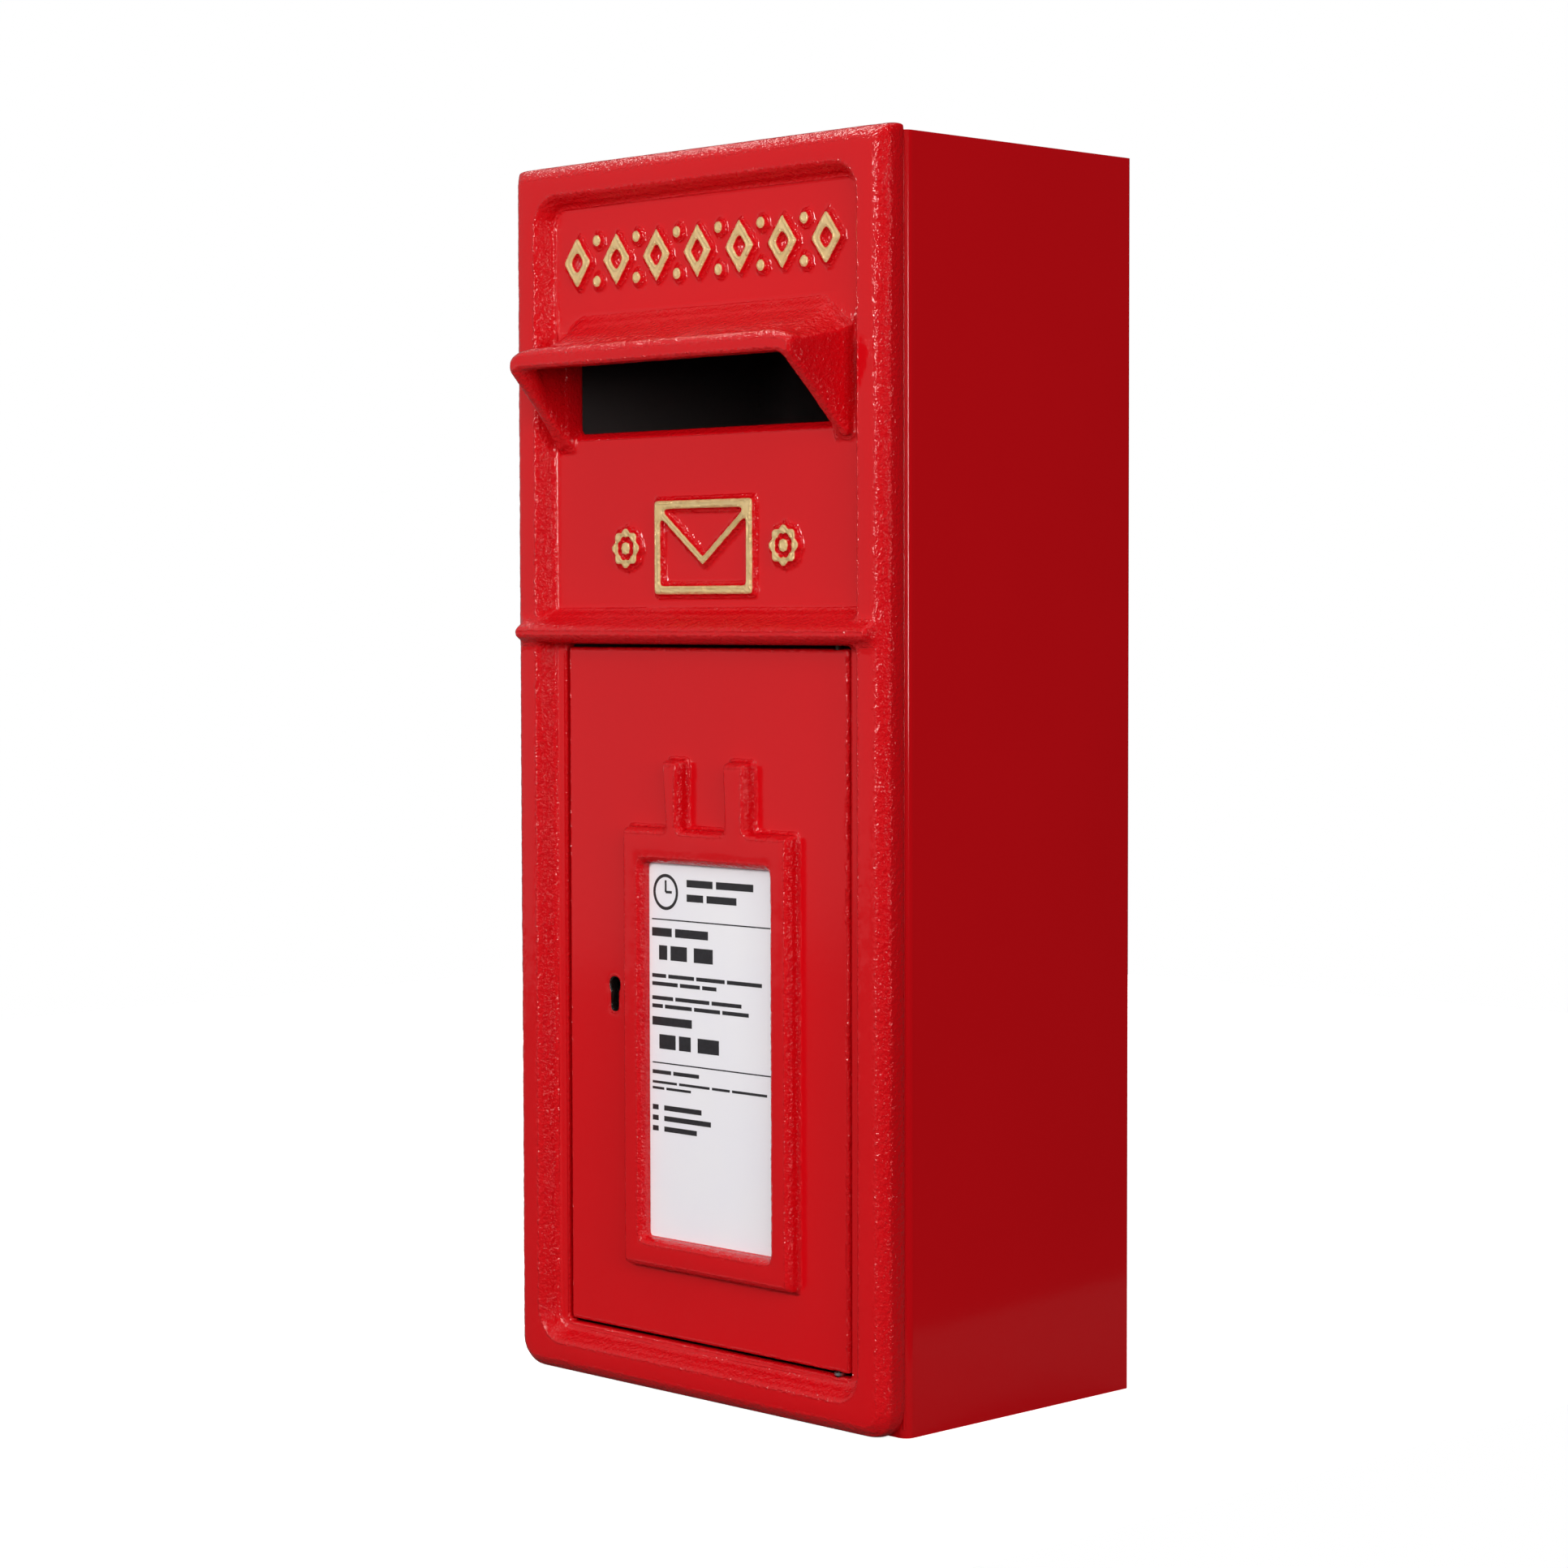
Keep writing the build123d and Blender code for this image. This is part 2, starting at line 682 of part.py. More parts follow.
# Lock bolt: slides past the door's edge, notched for the key and slotted for its guide pin
guide_slot_half = guide_pin_radius + guide_pin_play
with BuildPart() as lock_bolt:
    with BuildSketch(facing_front(bolt_back_y)):
        with Locations(((bolt_end_x + bolt_tail_x) / 2, guide_z)):
            Rectangle(bolt_length, bolt_height)
        with Locations((keyhole_x, bolt_low + talon_height / 2)):
            Rectangle(talon_width, talon_height, mode=Mode.SUBTRACT)
        with Locations((guide_x + bolt_throw / 2, guide_z)):
            SlotCenterToCenter(bolt_throw, 2 * guide_slot_half, mode=Mode.SUBTRACT)
    extrude(amount=bolt_back_y - bolt_front_y)
    chamfer(lock_bolt.faces().sort_by(Axis.X)[0].edges().filter_by(Axis.Z), bolt_end_inset)
finish(lock_bolt.part, "lock_bolt")

# Guide pin: riveted between the case and its cover, through the bolt's slot
with BuildPart() as bolt_guide_pin:
    with BuildSketch(facing_front(lock_back_y - lock_wall)):
        with Locations((guide_x, guide_z)):
            Circle(guide_pin_radius)
    extrude(amount=lock_depth - 2 * lock_wall)
finish(bolt_guide_pin.part, "bolt_guide_pin")

# Bolt spring: a bowed leaf on the bolt's top edge that rubs under the case's top wall
spring_mid_x = bolt_tail_x - spring_from_tail - spring_length / 2
spring_rise = case_inner_top - bolt_high - spring_play
spring_mid_y = (bolt_front_y + bolt_back_y) / 2
with BuildPart() as bolt_spring:
    with BuildSketch(facing_front(spring_mid_y + spring_width / 2)):
        with BuildLine():
            ThreePointArc(
                (spring_mid_x - spring_length / 2, bolt_high),
                (spring_mid_x, bolt_high + spring_rise),
                (spring_mid_x + spring_length / 2, bolt_high),
            )
            Line(
                (spring_mid_x + spring_length / 2, bolt_high),
                (spring_mid_x + spring_length / 2 - spring_leaf, bolt_high),
            )
            ThreePointArc(
                (spring_mid_x + spring_length / 2 - spring_leaf, bolt_high),
                (spring_mid_x, bolt_high + spring_rise - spring_leaf),
                (spring_mid_x - spring_length / 2 + spring_leaf, bolt_high),
            )
            Line(
                (spring_mid_x - spring_length / 2 + spring_leaf, bolt_high),
                (spring_mid_x - spring_length / 2, bolt_high),
            )
        make_face()
    extrude(amount=spring_width)
finish(bolt_spring.part, "bolt_spring")


def screw(tip_y, seat_y, spot, radius):
    """Socket-head screw into the front, its head seated at seat_y and its tip at tip_y."""
    head_height = 2 * radius * head_height_ratio
    with BuildPart() as body:
        with BuildSketch(facing_front(seat_y)):
            with Locations(spot):
                Circle(radius)
        extrude(amount=seat_y - tip_y)
        with BuildSketch(facing_front(seat_y + head_height)):
            with Locations(spot):
                Circle(radius * head_radius_ratio)
        extrude(amount=head_height)
        with BuildSketch(facing_front(seat_y + head_height)):
            with Locations(spot):
                RegularPolygon(2 * radius * socket_ratio, 6)
        extrude(amount=head_height * socket_depth_ratio, mode=Mode.SUBTRACT)
    return body.part


# Screws through the lock's cover and posts into the door
lock_screws = Compound(
    children=[
        screw(leaf_back_y - lock_screw_grip, lock_back_y, spot, lock_screw_radius)
        for spot in lock_screw_spots
    ]
)
finish(lock_screws, "lock_screws")

# Washers and screws that draw the casting onto the flanges of the box
screw_seat_y = flange_back_y + washer_thickness
with BuildPart() as casting_washers:
    with BuildSketch(facing_front(screw_seat_y)):
        with Locations(*casting_screw_spots):
            Circle(casting_screw_radius * washer_ratio)
        with Locations(*casting_screw_spots):
            Circle(casting_screw_radius + running_clearance, mode=Mode.SUBTRACT)
    extrude(amount=washer_thickness)
finish(casting_washers.part, "casting_washers")

casting_screws = Compound(
    children=[
        screw(seam_y - casting_screw_grip, screw_seat_y, spot, casting_screw_radius)
        for spot in casting_screw_spots
    ]
)
finish(casting_screws, "casting_screws")
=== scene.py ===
import math

import bmesh
import bpy
from mathutils import Matrix, Vector


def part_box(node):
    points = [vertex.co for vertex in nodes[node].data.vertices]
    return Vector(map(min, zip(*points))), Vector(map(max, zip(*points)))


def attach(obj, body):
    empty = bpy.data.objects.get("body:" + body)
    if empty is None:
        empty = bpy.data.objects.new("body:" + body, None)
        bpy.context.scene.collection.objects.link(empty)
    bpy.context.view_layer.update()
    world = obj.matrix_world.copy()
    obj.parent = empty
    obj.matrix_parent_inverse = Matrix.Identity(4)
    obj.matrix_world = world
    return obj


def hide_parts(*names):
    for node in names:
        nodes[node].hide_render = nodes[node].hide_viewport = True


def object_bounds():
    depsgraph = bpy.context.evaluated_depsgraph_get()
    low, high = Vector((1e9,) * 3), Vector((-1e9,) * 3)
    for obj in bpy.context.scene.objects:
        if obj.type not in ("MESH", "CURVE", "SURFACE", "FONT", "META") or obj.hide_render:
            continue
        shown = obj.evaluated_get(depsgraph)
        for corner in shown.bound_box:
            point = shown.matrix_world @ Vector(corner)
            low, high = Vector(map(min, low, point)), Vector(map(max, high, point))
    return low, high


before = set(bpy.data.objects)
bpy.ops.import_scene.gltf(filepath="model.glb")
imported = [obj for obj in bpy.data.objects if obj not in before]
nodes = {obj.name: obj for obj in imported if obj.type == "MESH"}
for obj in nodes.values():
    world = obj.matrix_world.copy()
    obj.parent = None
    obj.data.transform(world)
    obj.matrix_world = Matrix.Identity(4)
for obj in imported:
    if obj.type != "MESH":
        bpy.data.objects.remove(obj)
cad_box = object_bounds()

# Camera: a long lens at eye level with the middle of the box, off its right front corner.
# Angles and distance were solved from the straight edges in the photograph.
camera_azimuth = math.radians(45.534)
camera_elevation = math.radians(2.725)
camera_roll = math.radians(-0.13)
camera_place = Vector((1.2296, -1.21435, 0.3676))
lens_mm = 83.66
ahead = Vector((
    -math.sin(camera_azimuth) * math.cos(camera_elevation),
    math.cos(camera_azimuth) * math.cos(camera_elevation),
    -math.sin(camera_elevation),
))
level_right = Vector((math.cos(camera_azimuth), math.sin(camera_azimuth), 0.0))
level_up = level_right.cross(ahead)
camera_right = level_right * math.cos(camera_roll) + level_up * math.sin(camera_roll)
camera_up = camera_right.cross(ahead)
camera_turn = Matrix((camera_right, camera_up, -ahead)).transposed()
camera_data = bpy.data.cameras.new("camera")
camera_data.lens = lens_mm
camera_data.sensor_width = 36.0
camera_data.clip_end = 20.0
camera = bpy.data.objects.new("camera", camera_data)
camera.matrix_world = Matrix.Translation(camera_place) @ camera_turn.to_4x4()
bpy.context.scene.collection.objects.link(camera)
bpy.context.scene.camera = camera


# Studio: a white table top, soft boxes and two small lamps, in a room light on the left, dark on the right.
# The table ends a little way past the right side, which is why that side mirrors it only near its foot.
# The two lamps light little: they are what the gritty edges mirror as sparkles.
def hex_colour(text):
    """Linear colour of an sRGB hex value."""
    channels = []
    for start in (0, 2, 4):
        value = int(text[start:start + 2], 16) / 255.0
        channels.append(value / 12.92 if value <= 0.04045 else ((value + 0.055) / 1.055) ** 2.4)
    return (*channels, 1.0)


def add_node(tree, kind, settings=None, inputs=None):
    """Add a node with its settings; an input is a value, or the socket that feeds it."""
    node = tree.nodes.new(kind)
    for name, value in (settings or {}).items():
        setattr(node, name, value)
    for name, value in (inputs or {}).items():
        socket = node.inputs[name]
        if isinstance(value, bpy.types.NodeSocket):
            tree.links.new(value, socket)
        else:
            socket.default_value = value
    return node


def new_material(name):
    """A material with an empty tree and its output node."""
    material = bpy.data.materials.new(name)
    material.use_nodes = True
    material.node_tree.nodes.clear()
    output = material.node_tree.nodes.new("ShaderNodeOutputMaterial")
    return material, material.node_tree, output


scene = bpy.context.scene
scene.view_settings.view_transform = "Standard"

# Looked at, the table is white to its edges; mirrored in the enamel, it is as grey as an unlit one.
table_glow, table_grey = 0.81, "6C6C6C"
table_material, tree, output = new_material("white_table_top")
lit = add_node(tree, "ShaderNodeBsdfDiffuse", inputs={"Color": (1, 1, 1, 1)})
glow = add_node(tree, "ShaderNodeEmission", inputs={"Strength": table_glow})
looked_at = add_node(tree, "ShaderNodeAddShader", inputs={0: lit.outputs[0], 1: glow.outputs[0]})
in_mirrors = add_node(tree, "ShaderNodeBsdfDiffuse", inputs={"Color": hex_colour(table_grey)})
ray = add_node(tree, "ShaderNodeLightPath")
either = add_node(tree, "ShaderNodeMixShader", inputs={
    0: ray.outputs["Is Camera Ray"], 1: in_mirrors.outputs[0], 2: looked_at.outputs[0],
})
tree.links.new(either.outputs[0], output.inputs["Surface"])

table_left, table_front, table_back = -1.6, -2.2, 1.6
table_past_box = 0.166
table_right = cad_box[1][0] + table_past_box
table_mesh = bpy.data.meshes.new("table_top")
table_mesh.from_pydata(
    [
        (table_left, table_front, 0),
        (table_right, table_front, 0),
        (table_right, table_back, 0),
        (table_left, table_back, 0),
    ],
    [],
    [(0, 1, 2, 3)],
)
table_mesh.materials.append(table_material)
table_top = bpy.data.objects.new("table_top", table_mesh)
scene.collection.objects.link(table_top)

# The room is a smooth change from dark to light, and white to the camera.
light_side = Vector((-0.80, -0.55, 0.25)).normalized()
dark_room, light_room = 0.05, 0.45
world = bpy.data.worlds.new("studio")
scene.world = world
world.use_nodes = True
tree = world.node_tree
tree.nodes.clear()
direction = add_node(tree, "ShaderNodeTexCoord")
towards_light = add_node(tree, "ShaderNodeVectorMath", {"operation": "DOT_PRODUCT"}, {
    0: direction.outputs["Generated"], 1: light_side,
})
room = add_node(tree, "ShaderNodeMapRange", {"interpolation_type": "SMOOTHSTEP"}, {
    "Value": towards_light.outputs["Value"], "From Min": -0.1, "From Max": 0.95,
    "To Min": dark_room, "To Max": light_room,
})
room_light = add_node(tree, "ShaderNodeBackground", inputs={"Strength": room.outputs["Result"]})
backdrop = add_node(tree, "ShaderNodeBackground", inputs={"Strength": 1.0, "Color": (1, 1, 1, 1)})
ray = add_node(tree, "ShaderNodeLightPath")
either = add_node(tree, "ShaderNodeMixShader", inputs={
    0: ray.outputs["Is Camera Ray"], 1: room_light.outputs[0], 2: backdrop.outputs[0],
})
add_node(tree, "ShaderNodeOutputWorld", inputs={"Surface": either.outputs[0]})

# Each has its place, aim, width, height and watts, and says whether the enamel mirrors it.
lamp_white = (1.0, 0.95, 0.89)
for name, place, aim, width, height, watts, mirrored in (
    ("key_softbox", (-0.40, -2.10, 0.95), (0.0, -0.05, 0.3), 0.35, 0.6, 22.0, True),
    ("fill_softbox", (2.0, -1.5, 1.1), (0.0, 0.0, 0.3), 2.0, 1.6, 39.0, False),
    ("side_lamp", (2.2, -0.6, 0.5), (0.0, 0.0, 0.3), 0.2, 0.5, 5.0, True),
    ("top_lamp", (-1.5, 0.2, 2.3), (0.0, 0.0, 0.4), 0.4, 0.4, 8.0, True),
    ("rear_softbox", (-0.9, 2.2, 1.3), (0.0, 0.0, 0.3), 1.6, 1.6, 26.0, False),
):
    light_data = bpy.data.lights.new(name, "AREA")
    light_data.shape = "RECTANGLE"
    light_data.size = width
    light_data.size_y = height
    light_data.energy = watts
    light_data.color = lamp_white
    light = bpy.data.objects.new(name, light_data)
    turn = (Vector(aim) - Vector(place)).to_track_quat("-Z", "Y")
    light.matrix_world = Matrix.Translation(place) @ turn.to_matrix().to_4x4()
    light.visible_camera = False
    light.visible_glossy = mirrored
    scene.collection.objects.link(light)

# The overhead light is even over the whole table, so the table stays white to its edges.
overhead_data = bpy.data.lights.new("overhead", "SUN")
overhead_data.energy = 0.65
overhead_data.angle = math.radians(50)
scene.collection.objects.link(bpy.data.objects.new("overhead", overhead_data))


# Sheet box: folded wrap, top plate and base plate of 1.5 mm steel, welded, ground flush and enamelled.
# The enamel is smooth and glossy, with a very faint orange peel. The inside keeps its dark primer.
deep_red, light_red = "CC0510", "D30814"
sheet_gloss, primer_dullness = 0.1, 0.6
primer_grey = "5C5557"
fold_angle = math.radians(48)


def red_enamel(name, peel_depth, roughness):
    """Gloss enamel: a deep red that drifts slightly, with orange peel about 2 mm across."""
    material, tree, output = new_material(name)
    place = add_node(tree, "ShaderNodeTexCoord").outputs["Object"]
    drift = add_node(tree, "ShaderNodeTexNoise", inputs={"Vector": place, "Scale": 9.0, "Detail": 2.0})
    colour = add_node(tree, "ShaderNodeMix", {"data_type": "RGBA"}, {
        "Factor": drift.outputs[0], 6: hex_colour(deep_red), 7: hex_colour(light_red),
    })
    peel = add_node(tree, "ShaderNodeTexNoise", inputs={"Vector": place, "Scale": 420.0, "Detail": 1.0})
    peel_bump = add_node(tree, "ShaderNodeBump", inputs={
        "Height": peel.outputs[0], "Distance": peel_depth, "Strength": 1.0,
    })
    shader = add_node(tree, "ShaderNodeBsdfPrincipled", inputs={
        "Base Color": colour.outputs[2], "Roughness": roughness, "IOR": 1.5, "Normal": peel_bump.outputs[0],
    })
    tree.links.new(shader.outputs["BSDF"], output.inputs["Surface"])
    return material, tree, shader, peel_bump


def merged_copy(node_name, piece_name):
    """A welded copy of a CAD node as a new object at the origin."""
    mesh = nodes[node_name].data.copy()
    mesh.name = piece_name
    mesh.materials.clear()
    shape = bmesh.new()
    shape.from_mesh(mesh)
    bmesh.ops.remove_doubles(shape, verts=shape.verts, dist=1e-6)
    shape.to_mesh(mesh)
    shape.free()
    piece = bpy.data.objects.new(piece_name, mesh)
    scene.collection.objects.link(piece)
    return piece


def bake_modifiers(piece):
    """Turn a piece and its modifiers into one plain mesh."""
    graph = bpy.context.evaluated_depsgraph_get()
    mesh = bpy.data.meshes.new_from_object(piece.evaluated_get(graph), depsgraph=graph)
    piece.modifiers.clear()
    piece.data = mesh


sheet_enamel, tree, shader, _ = red_enamel(
    "gloss_enamel_on_sheet", peel_depth=0.000012, roughness=sheet_gloss,
)

# Primer: whatever faces the middle of the box is an inner face.
wrap_low, wrap_high = (Vector(corner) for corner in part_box("body_wrap"))
coordinates = add_node(tree, "ShaderNodeTexCoord").outputs
from_middle = add_node(tree, "ShaderNodeVectorMath", {"operation": "SUBTRACT"}, {
    0: coordinates["Object"], 1: (wrap_low + wrap_high) / 2,
}).outputs[0]
outwards = add_node(tree, "ShaderNodeVectorMath", {"operation": "DOT_PRODUCT"}, {
    0: from_middle, 1: coordinates["Normal"],
}).outputs["Value"]
inside = add_node(tree, "ShaderNodeMath", {"operation": "LESS_THAN"}, {0: outwards, 1: 0.0}).outputs[0]
red = shader.inputs["Base Color"].links[0].from_socket
primed = add_node(tree, "ShaderNodeMix", {"data_type": "RGBA"}, {
    "Factor": inside, 6: red, 7: hex_colour(primer_grey),
})
tree.links.new(primed.outputs[2], shader.inputs["Base Color"])
dull = add_node(tree, "ShaderNodeMapRange", inputs={
    "Value": inside, "To Min": sheet_gloss, "To Max": primer_dullness,
})
tree.links.new(dull.outputs[0], shader.inputs["Roughness"])

for node_name in ("body_wrap", "top_plate", "base_plate"):
    panel = merged_copy(node_name, node_name + "_sheet")
    panel.data.shade_smooth()
    panel.data.set_sharp_from_angle(angle=fold_angle)
    panel.data.materials.append(sheet_enamel)
    even = panel.modifiers.new("even", "WEIGHTED_NORMAL")
    even.weight = 100
    even.keep_sharp = True
    bake_modifiers(panel)
    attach(panel, "box")
    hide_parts(node_name)


# Seam filler: a bead of body filler along the groove between the casting's back edge and the sheet box.
# Laid by hand up both sides and over the top, then painted with the rest, so its width wanders a little.
def set_inputs(modifier, values):
    """Set a geometry modifier's inputs by their sockets' identifiers."""
    for socket in modifier.node_group.interface.items_tree:
        if socket.in_out == "INPUT" and socket.name in values:
            modifier[socket.identifier] = values[socket.name]


def new_geometry_tree(name, floats, integers=()):
    """A geometry tree with named sizes, counts and a material, and the inputs it is given."""
    tree = bpy.data.node_groups.new(name, "GeometryNodeTree")
    tree.interface.new_socket("Geometry", in_out="INPUT", socket_type="NodeSocketGeometry")
    for size in floats:
        tree.interface.new_socket(size, in_out="INPUT", socket_type="NodeSocketFloat")
    for count in integers:
        tree.interface.new_socket(count, in_out="INPUT", socket_type="NodeSocketInt")
    tree.interface.new_socket("Material", in_out="INPUT", socket_type="NodeSocketMaterial")
    tree.interface.new_socket("Geometry", in_out="OUTPUT", socket_type="NodeSocketGeometry")
    return tree, add_node(tree, "NodeGroupInput").outputs


def end_tree(tree, geometry, material):
    """Realize the instances, set the material and pass the result out."""
    real = add_node(tree, "GeometryNodeRealizeInstances", inputs={0: geometry})
    painted = add_node(tree, "GeometryNodeSetMaterial", inputs={
        "Geometry": real.outputs[0], "Material": material,
    })
    add_node(tree, "NodeGroupOutput", inputs={0: painted.outputs[0]})


def line_object(name, points):
    """A mesh of points joined by edges, for a geometry tree to work on."""
    mesh = bpy.data.meshes.new(name)
    mesh.from_pydata(points, [(i, i + 1) for i in range(len(points) - 1)], [])
    piece = bpy.data.objects.new(name, mesh)
    scene.collection.objects.link(piece)
    return piece


bead_tree, given = new_geometry_tree("bead_along_seam", ("Bead Radius", "Step", "Wander"))
path = add_node(bead_tree, "GeometryNodeMeshToCurve", inputs={"Mesh": given["Geometry"]}).outputs[0]
path = add_node(bead_tree, "GeometryNodeResampleCurve", {"mode": "LENGTH"}, {
    "Curve": path, "Length": given["Step"],
}).outputs[0]
wander = add_node(bead_tree, "ShaderNodeTexNoise", inputs={"Scale": 55.0, "Detail": 1.0}).outputs[0]
wander = add_node(bead_tree, "ShaderNodeMath", {"operation": "MULTIPLY"}, {
    0: wander, 1: given["Wander"],
}).outputs[0]
width = add_node(bead_tree, "ShaderNodeMath", {"operation": "SUBTRACT"}, {0: 1.0, 1: wander}).outputs[0]
ring = add_node(bead_tree, "GeometryNodeCurvePrimitiveCircle", inputs={
    "Resolution": 12, "Radius": given["Bead Radius"],
}).outputs[0]
bead = add_node(bead_tree, "GeometryNodeCurveToMesh", inputs={
    "Curve": path, "Profile Curve": ring, "Scale": width, "Fill Caps": True,
}).outputs[0]
end_tree(bead_tree, bead, given["Material"])

seam_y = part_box("body_wrap")[0][1]
bead_radius = 0.0010
bead_side = wrap_high.x - 0.0021
bead_top = wrap_high.z + 0.0004
bead_foot = 0.004
bead_turn = 0.004
bead_y = seam_y + 0.0008
bead_path = []
for side in (-1, 1):
    upright = [
        (side * bead_side, bead_y, bead_foot),
        (side * bead_side, bead_y, bead_top - bead_turn),
        (side * (bead_side - 0.25 * bead_turn), bead_y, bead_top - 0.3 * bead_turn),
        (side * (bead_side - bead_turn), bead_y, bead_top),
    ]
    bead_path += upright if side < 0 else upright[::-1]
filler_enamel = red_enamel("gloss_enamel_on_filler", peel_depth=0.00002, roughness=0.16)[0]
seam_bead = line_object("seam_bead", bead_path)
lay = seam_bead.modifiers.new("lay", "NODES")
lay.node_group = bead_tree
set_inputs(lay, {"Bead Radius": bead_radius, "Step": 0.002, "Wander": 0.5, "Material": filler_enamel})
bake_modifiers(seam_bead)
seam_bead.data.shade_smooth()
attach(seam_bead, "box")


# Cast front: one sand casting with its rim, hood, drip ledge and raised ornament, thickly enamelled.
# Its flats are ground smooth; what stands proud of them keeps the sand's lumps and grit under the paint.
# Gold enamel is brushed on the tops of the ornament, so the ornament's sides stay red.
casting_depth = 0.0148
recess = 0.009
crown_y = seam_y - casting_depth
panel_y = crown_y + recess
box_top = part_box("front_casting")[1][2]
casting_sizes = {
    "Ornament Height": 0.0036,
    "Rim Height": 0.0095,
    "Rim Edge From": 0.110,
    "Rim Edge To": 0.118,
    "Rounding Steps": 14,
    "Lump Size": 0.016,
    "Lump Depth": 0.0004,
    "Grit Size": 0.0028,
    "Grit Depth": 0.0006,
    "Hood Corner From": 0.080,
    "Hood Half Width": 0.0995,
    "Hood Lip Z": box_top - 0.0928,
    "Hood Top Z": box_top - 0.0715,
}
just_off_panel, clear_of_panel = 0.0004, 0.0015
just_off_ornament, clear_of_ornament = 0.0003, 0.002
hood_blend = 0.003
hood_corner_drop = 0.013
front_voxel = 0.001
mesh_kept = 0.4


def cast_surface_tree():
    """Geometry tree that rounds and roughens whatever stands proud of a panel, always inwards."""
    tree, given = new_geometry_tree("cast_surface", (
        "Panel Level", "Ornament Height", "Rim Height", "Rim Edge From", "Rim Edge To",
        "Lump Size", "Lump Depth", "Grit Size", "Grit Depth",
        "Hood Corner From", "Hood Half Width", "Hood Corner Drop", "Hood Lip Z", "Hood Top Z",
    ), ("Rounding Steps",))
    place = add_node(tree, "GeometryNodeInputPosition").outputs[0]
    axes = add_node(tree, "ShaderNodeSeparateXYZ", inputs={0: place}).outputs
    across = add_node(tree, "ShaderNodeMath", {"operation": "ABSOLUTE"}, {0: axes["X"]}).outputs[0]
    proud = add_node(tree, "ShaderNodeMath", {"operation": "SUBTRACT"}, {
        0: given["Panel Level"], 1: axes["Y"],
    }).outputs[0]
    above = add_node(tree, "ShaderNodeMath", {"operation": "SUBTRACT"}, {
        0: proud, 1: given["Ornament Height"],
    }).outputs[0]

    # The hood's two top corners slump down, within the hood only.
    corner = add_node(tree, "ShaderNodeMapRange", {"interpolation_type": "SMOOTHSTEP"}, {
        "Value": across, "From Min": given["Hood Corner From"], "From Max": given["Hood Half Width"],
        "To Max": given["Hood Corner Drop"],
    }).outputs[0]
    for mask in (
        add_node(tree, "ShaderNodeMapRange", inputs={
            "Value": axes["Z"], "From Min": given["Hood Lip Z"], "From Max": given["Hood Top Z"],
        }),
        add_node(tree, "ShaderNodeMath", {"operation": "LESS_THAN"}, {0: axes["Z"], 1: given["Hood Top Z"]}),
        add_node(tree, "ShaderNodeMath", {"operation": "LESS_THAN"}, {
            0: across, 1: given["Hood Half Width"],
        }),
        add_node(tree, "ShaderNodeMath", {"operation": "GREATER_THAN"}, {0: proud, 1: just_off_panel}),
    ):
        corner = add_node(tree, "ShaderNodeMath", {"operation": "MULTIPLY"}, {
            0: corner, 1: mask.outputs[0],
        }).outputs[0]
    fall = add_node(tree, "ShaderNodeMath", {"operation": "MULTIPLY"}, {0: corner, 1: -1.0}).outputs[0]
    fall = add_node(tree, "ShaderNodeCombineXYZ", inputs={"Z": fall}).outputs[0]
    slumped = add_node(tree, "GeometryNodeSetPosition", inputs={
        "Geometry": given["Geometry"], "Offset": fall,
    }).outputs[0]

    # Edges are rounded little on the ornament, more on the rim, most on the hood and the rim's outer edge.
    weight = add_node(tree, "ShaderNodeMapRange", inputs={
        "Value": above, "From Min": just_off_ornament, "From Max": clear_of_ornament,
        "To Min": 0.05, "To Max": 0.4,
    }).outputs[0]
    hood_height = add_node(tree, "ShaderNodeMath", {"operation": "ADD"}, {
        0: given["Rim Height"], 1: hood_blend,
    }).outputs[0]
    jutting = add_node(tree, "ShaderNodeMapRange", inputs={
        "Value": proud, "From Min": given["Rim Height"], "From Max": hood_height, "To Max": 0.6,
    }).outputs[0]
    weight = add_node(tree, "ShaderNodeMath", {"operation": "ADD"}, {0: weight, 1: jutting}).outputs[0]
    outer_edge = add_node(tree, "ShaderNodeMapRange", inputs={
        "Value": across, "From Min": given["Rim Edge From"], "From Max": given["Rim Edge To"], "To Max": 0.6,
    }).outputs[0]
    weight = add_node(tree, "ShaderNodeMath", {"operation": "ADD", "use_clamp": True}, {
        0: weight, 1: outer_edge,
    }).outputs[0]
    relaxed = add_node(tree, "GeometryNodeBlurAttribute", {"data_type": "FLOAT_VECTOR"}, {
        "Iterations": given["Rounding Steps"], "Weight": weight,
    })
    for socket in relaxed.inputs:
        if socket.name == "Value" and socket.enabled:
            tree.links.new(place, socket)
    relaxed = next(socket for socket in relaxed.outputs if socket.enabled)
    rounded = add_node(tree, "GeometryNodeSetPosition", inputs={
        "Geometry": slumped, "Position": relaxed,
    }).outputs[0]

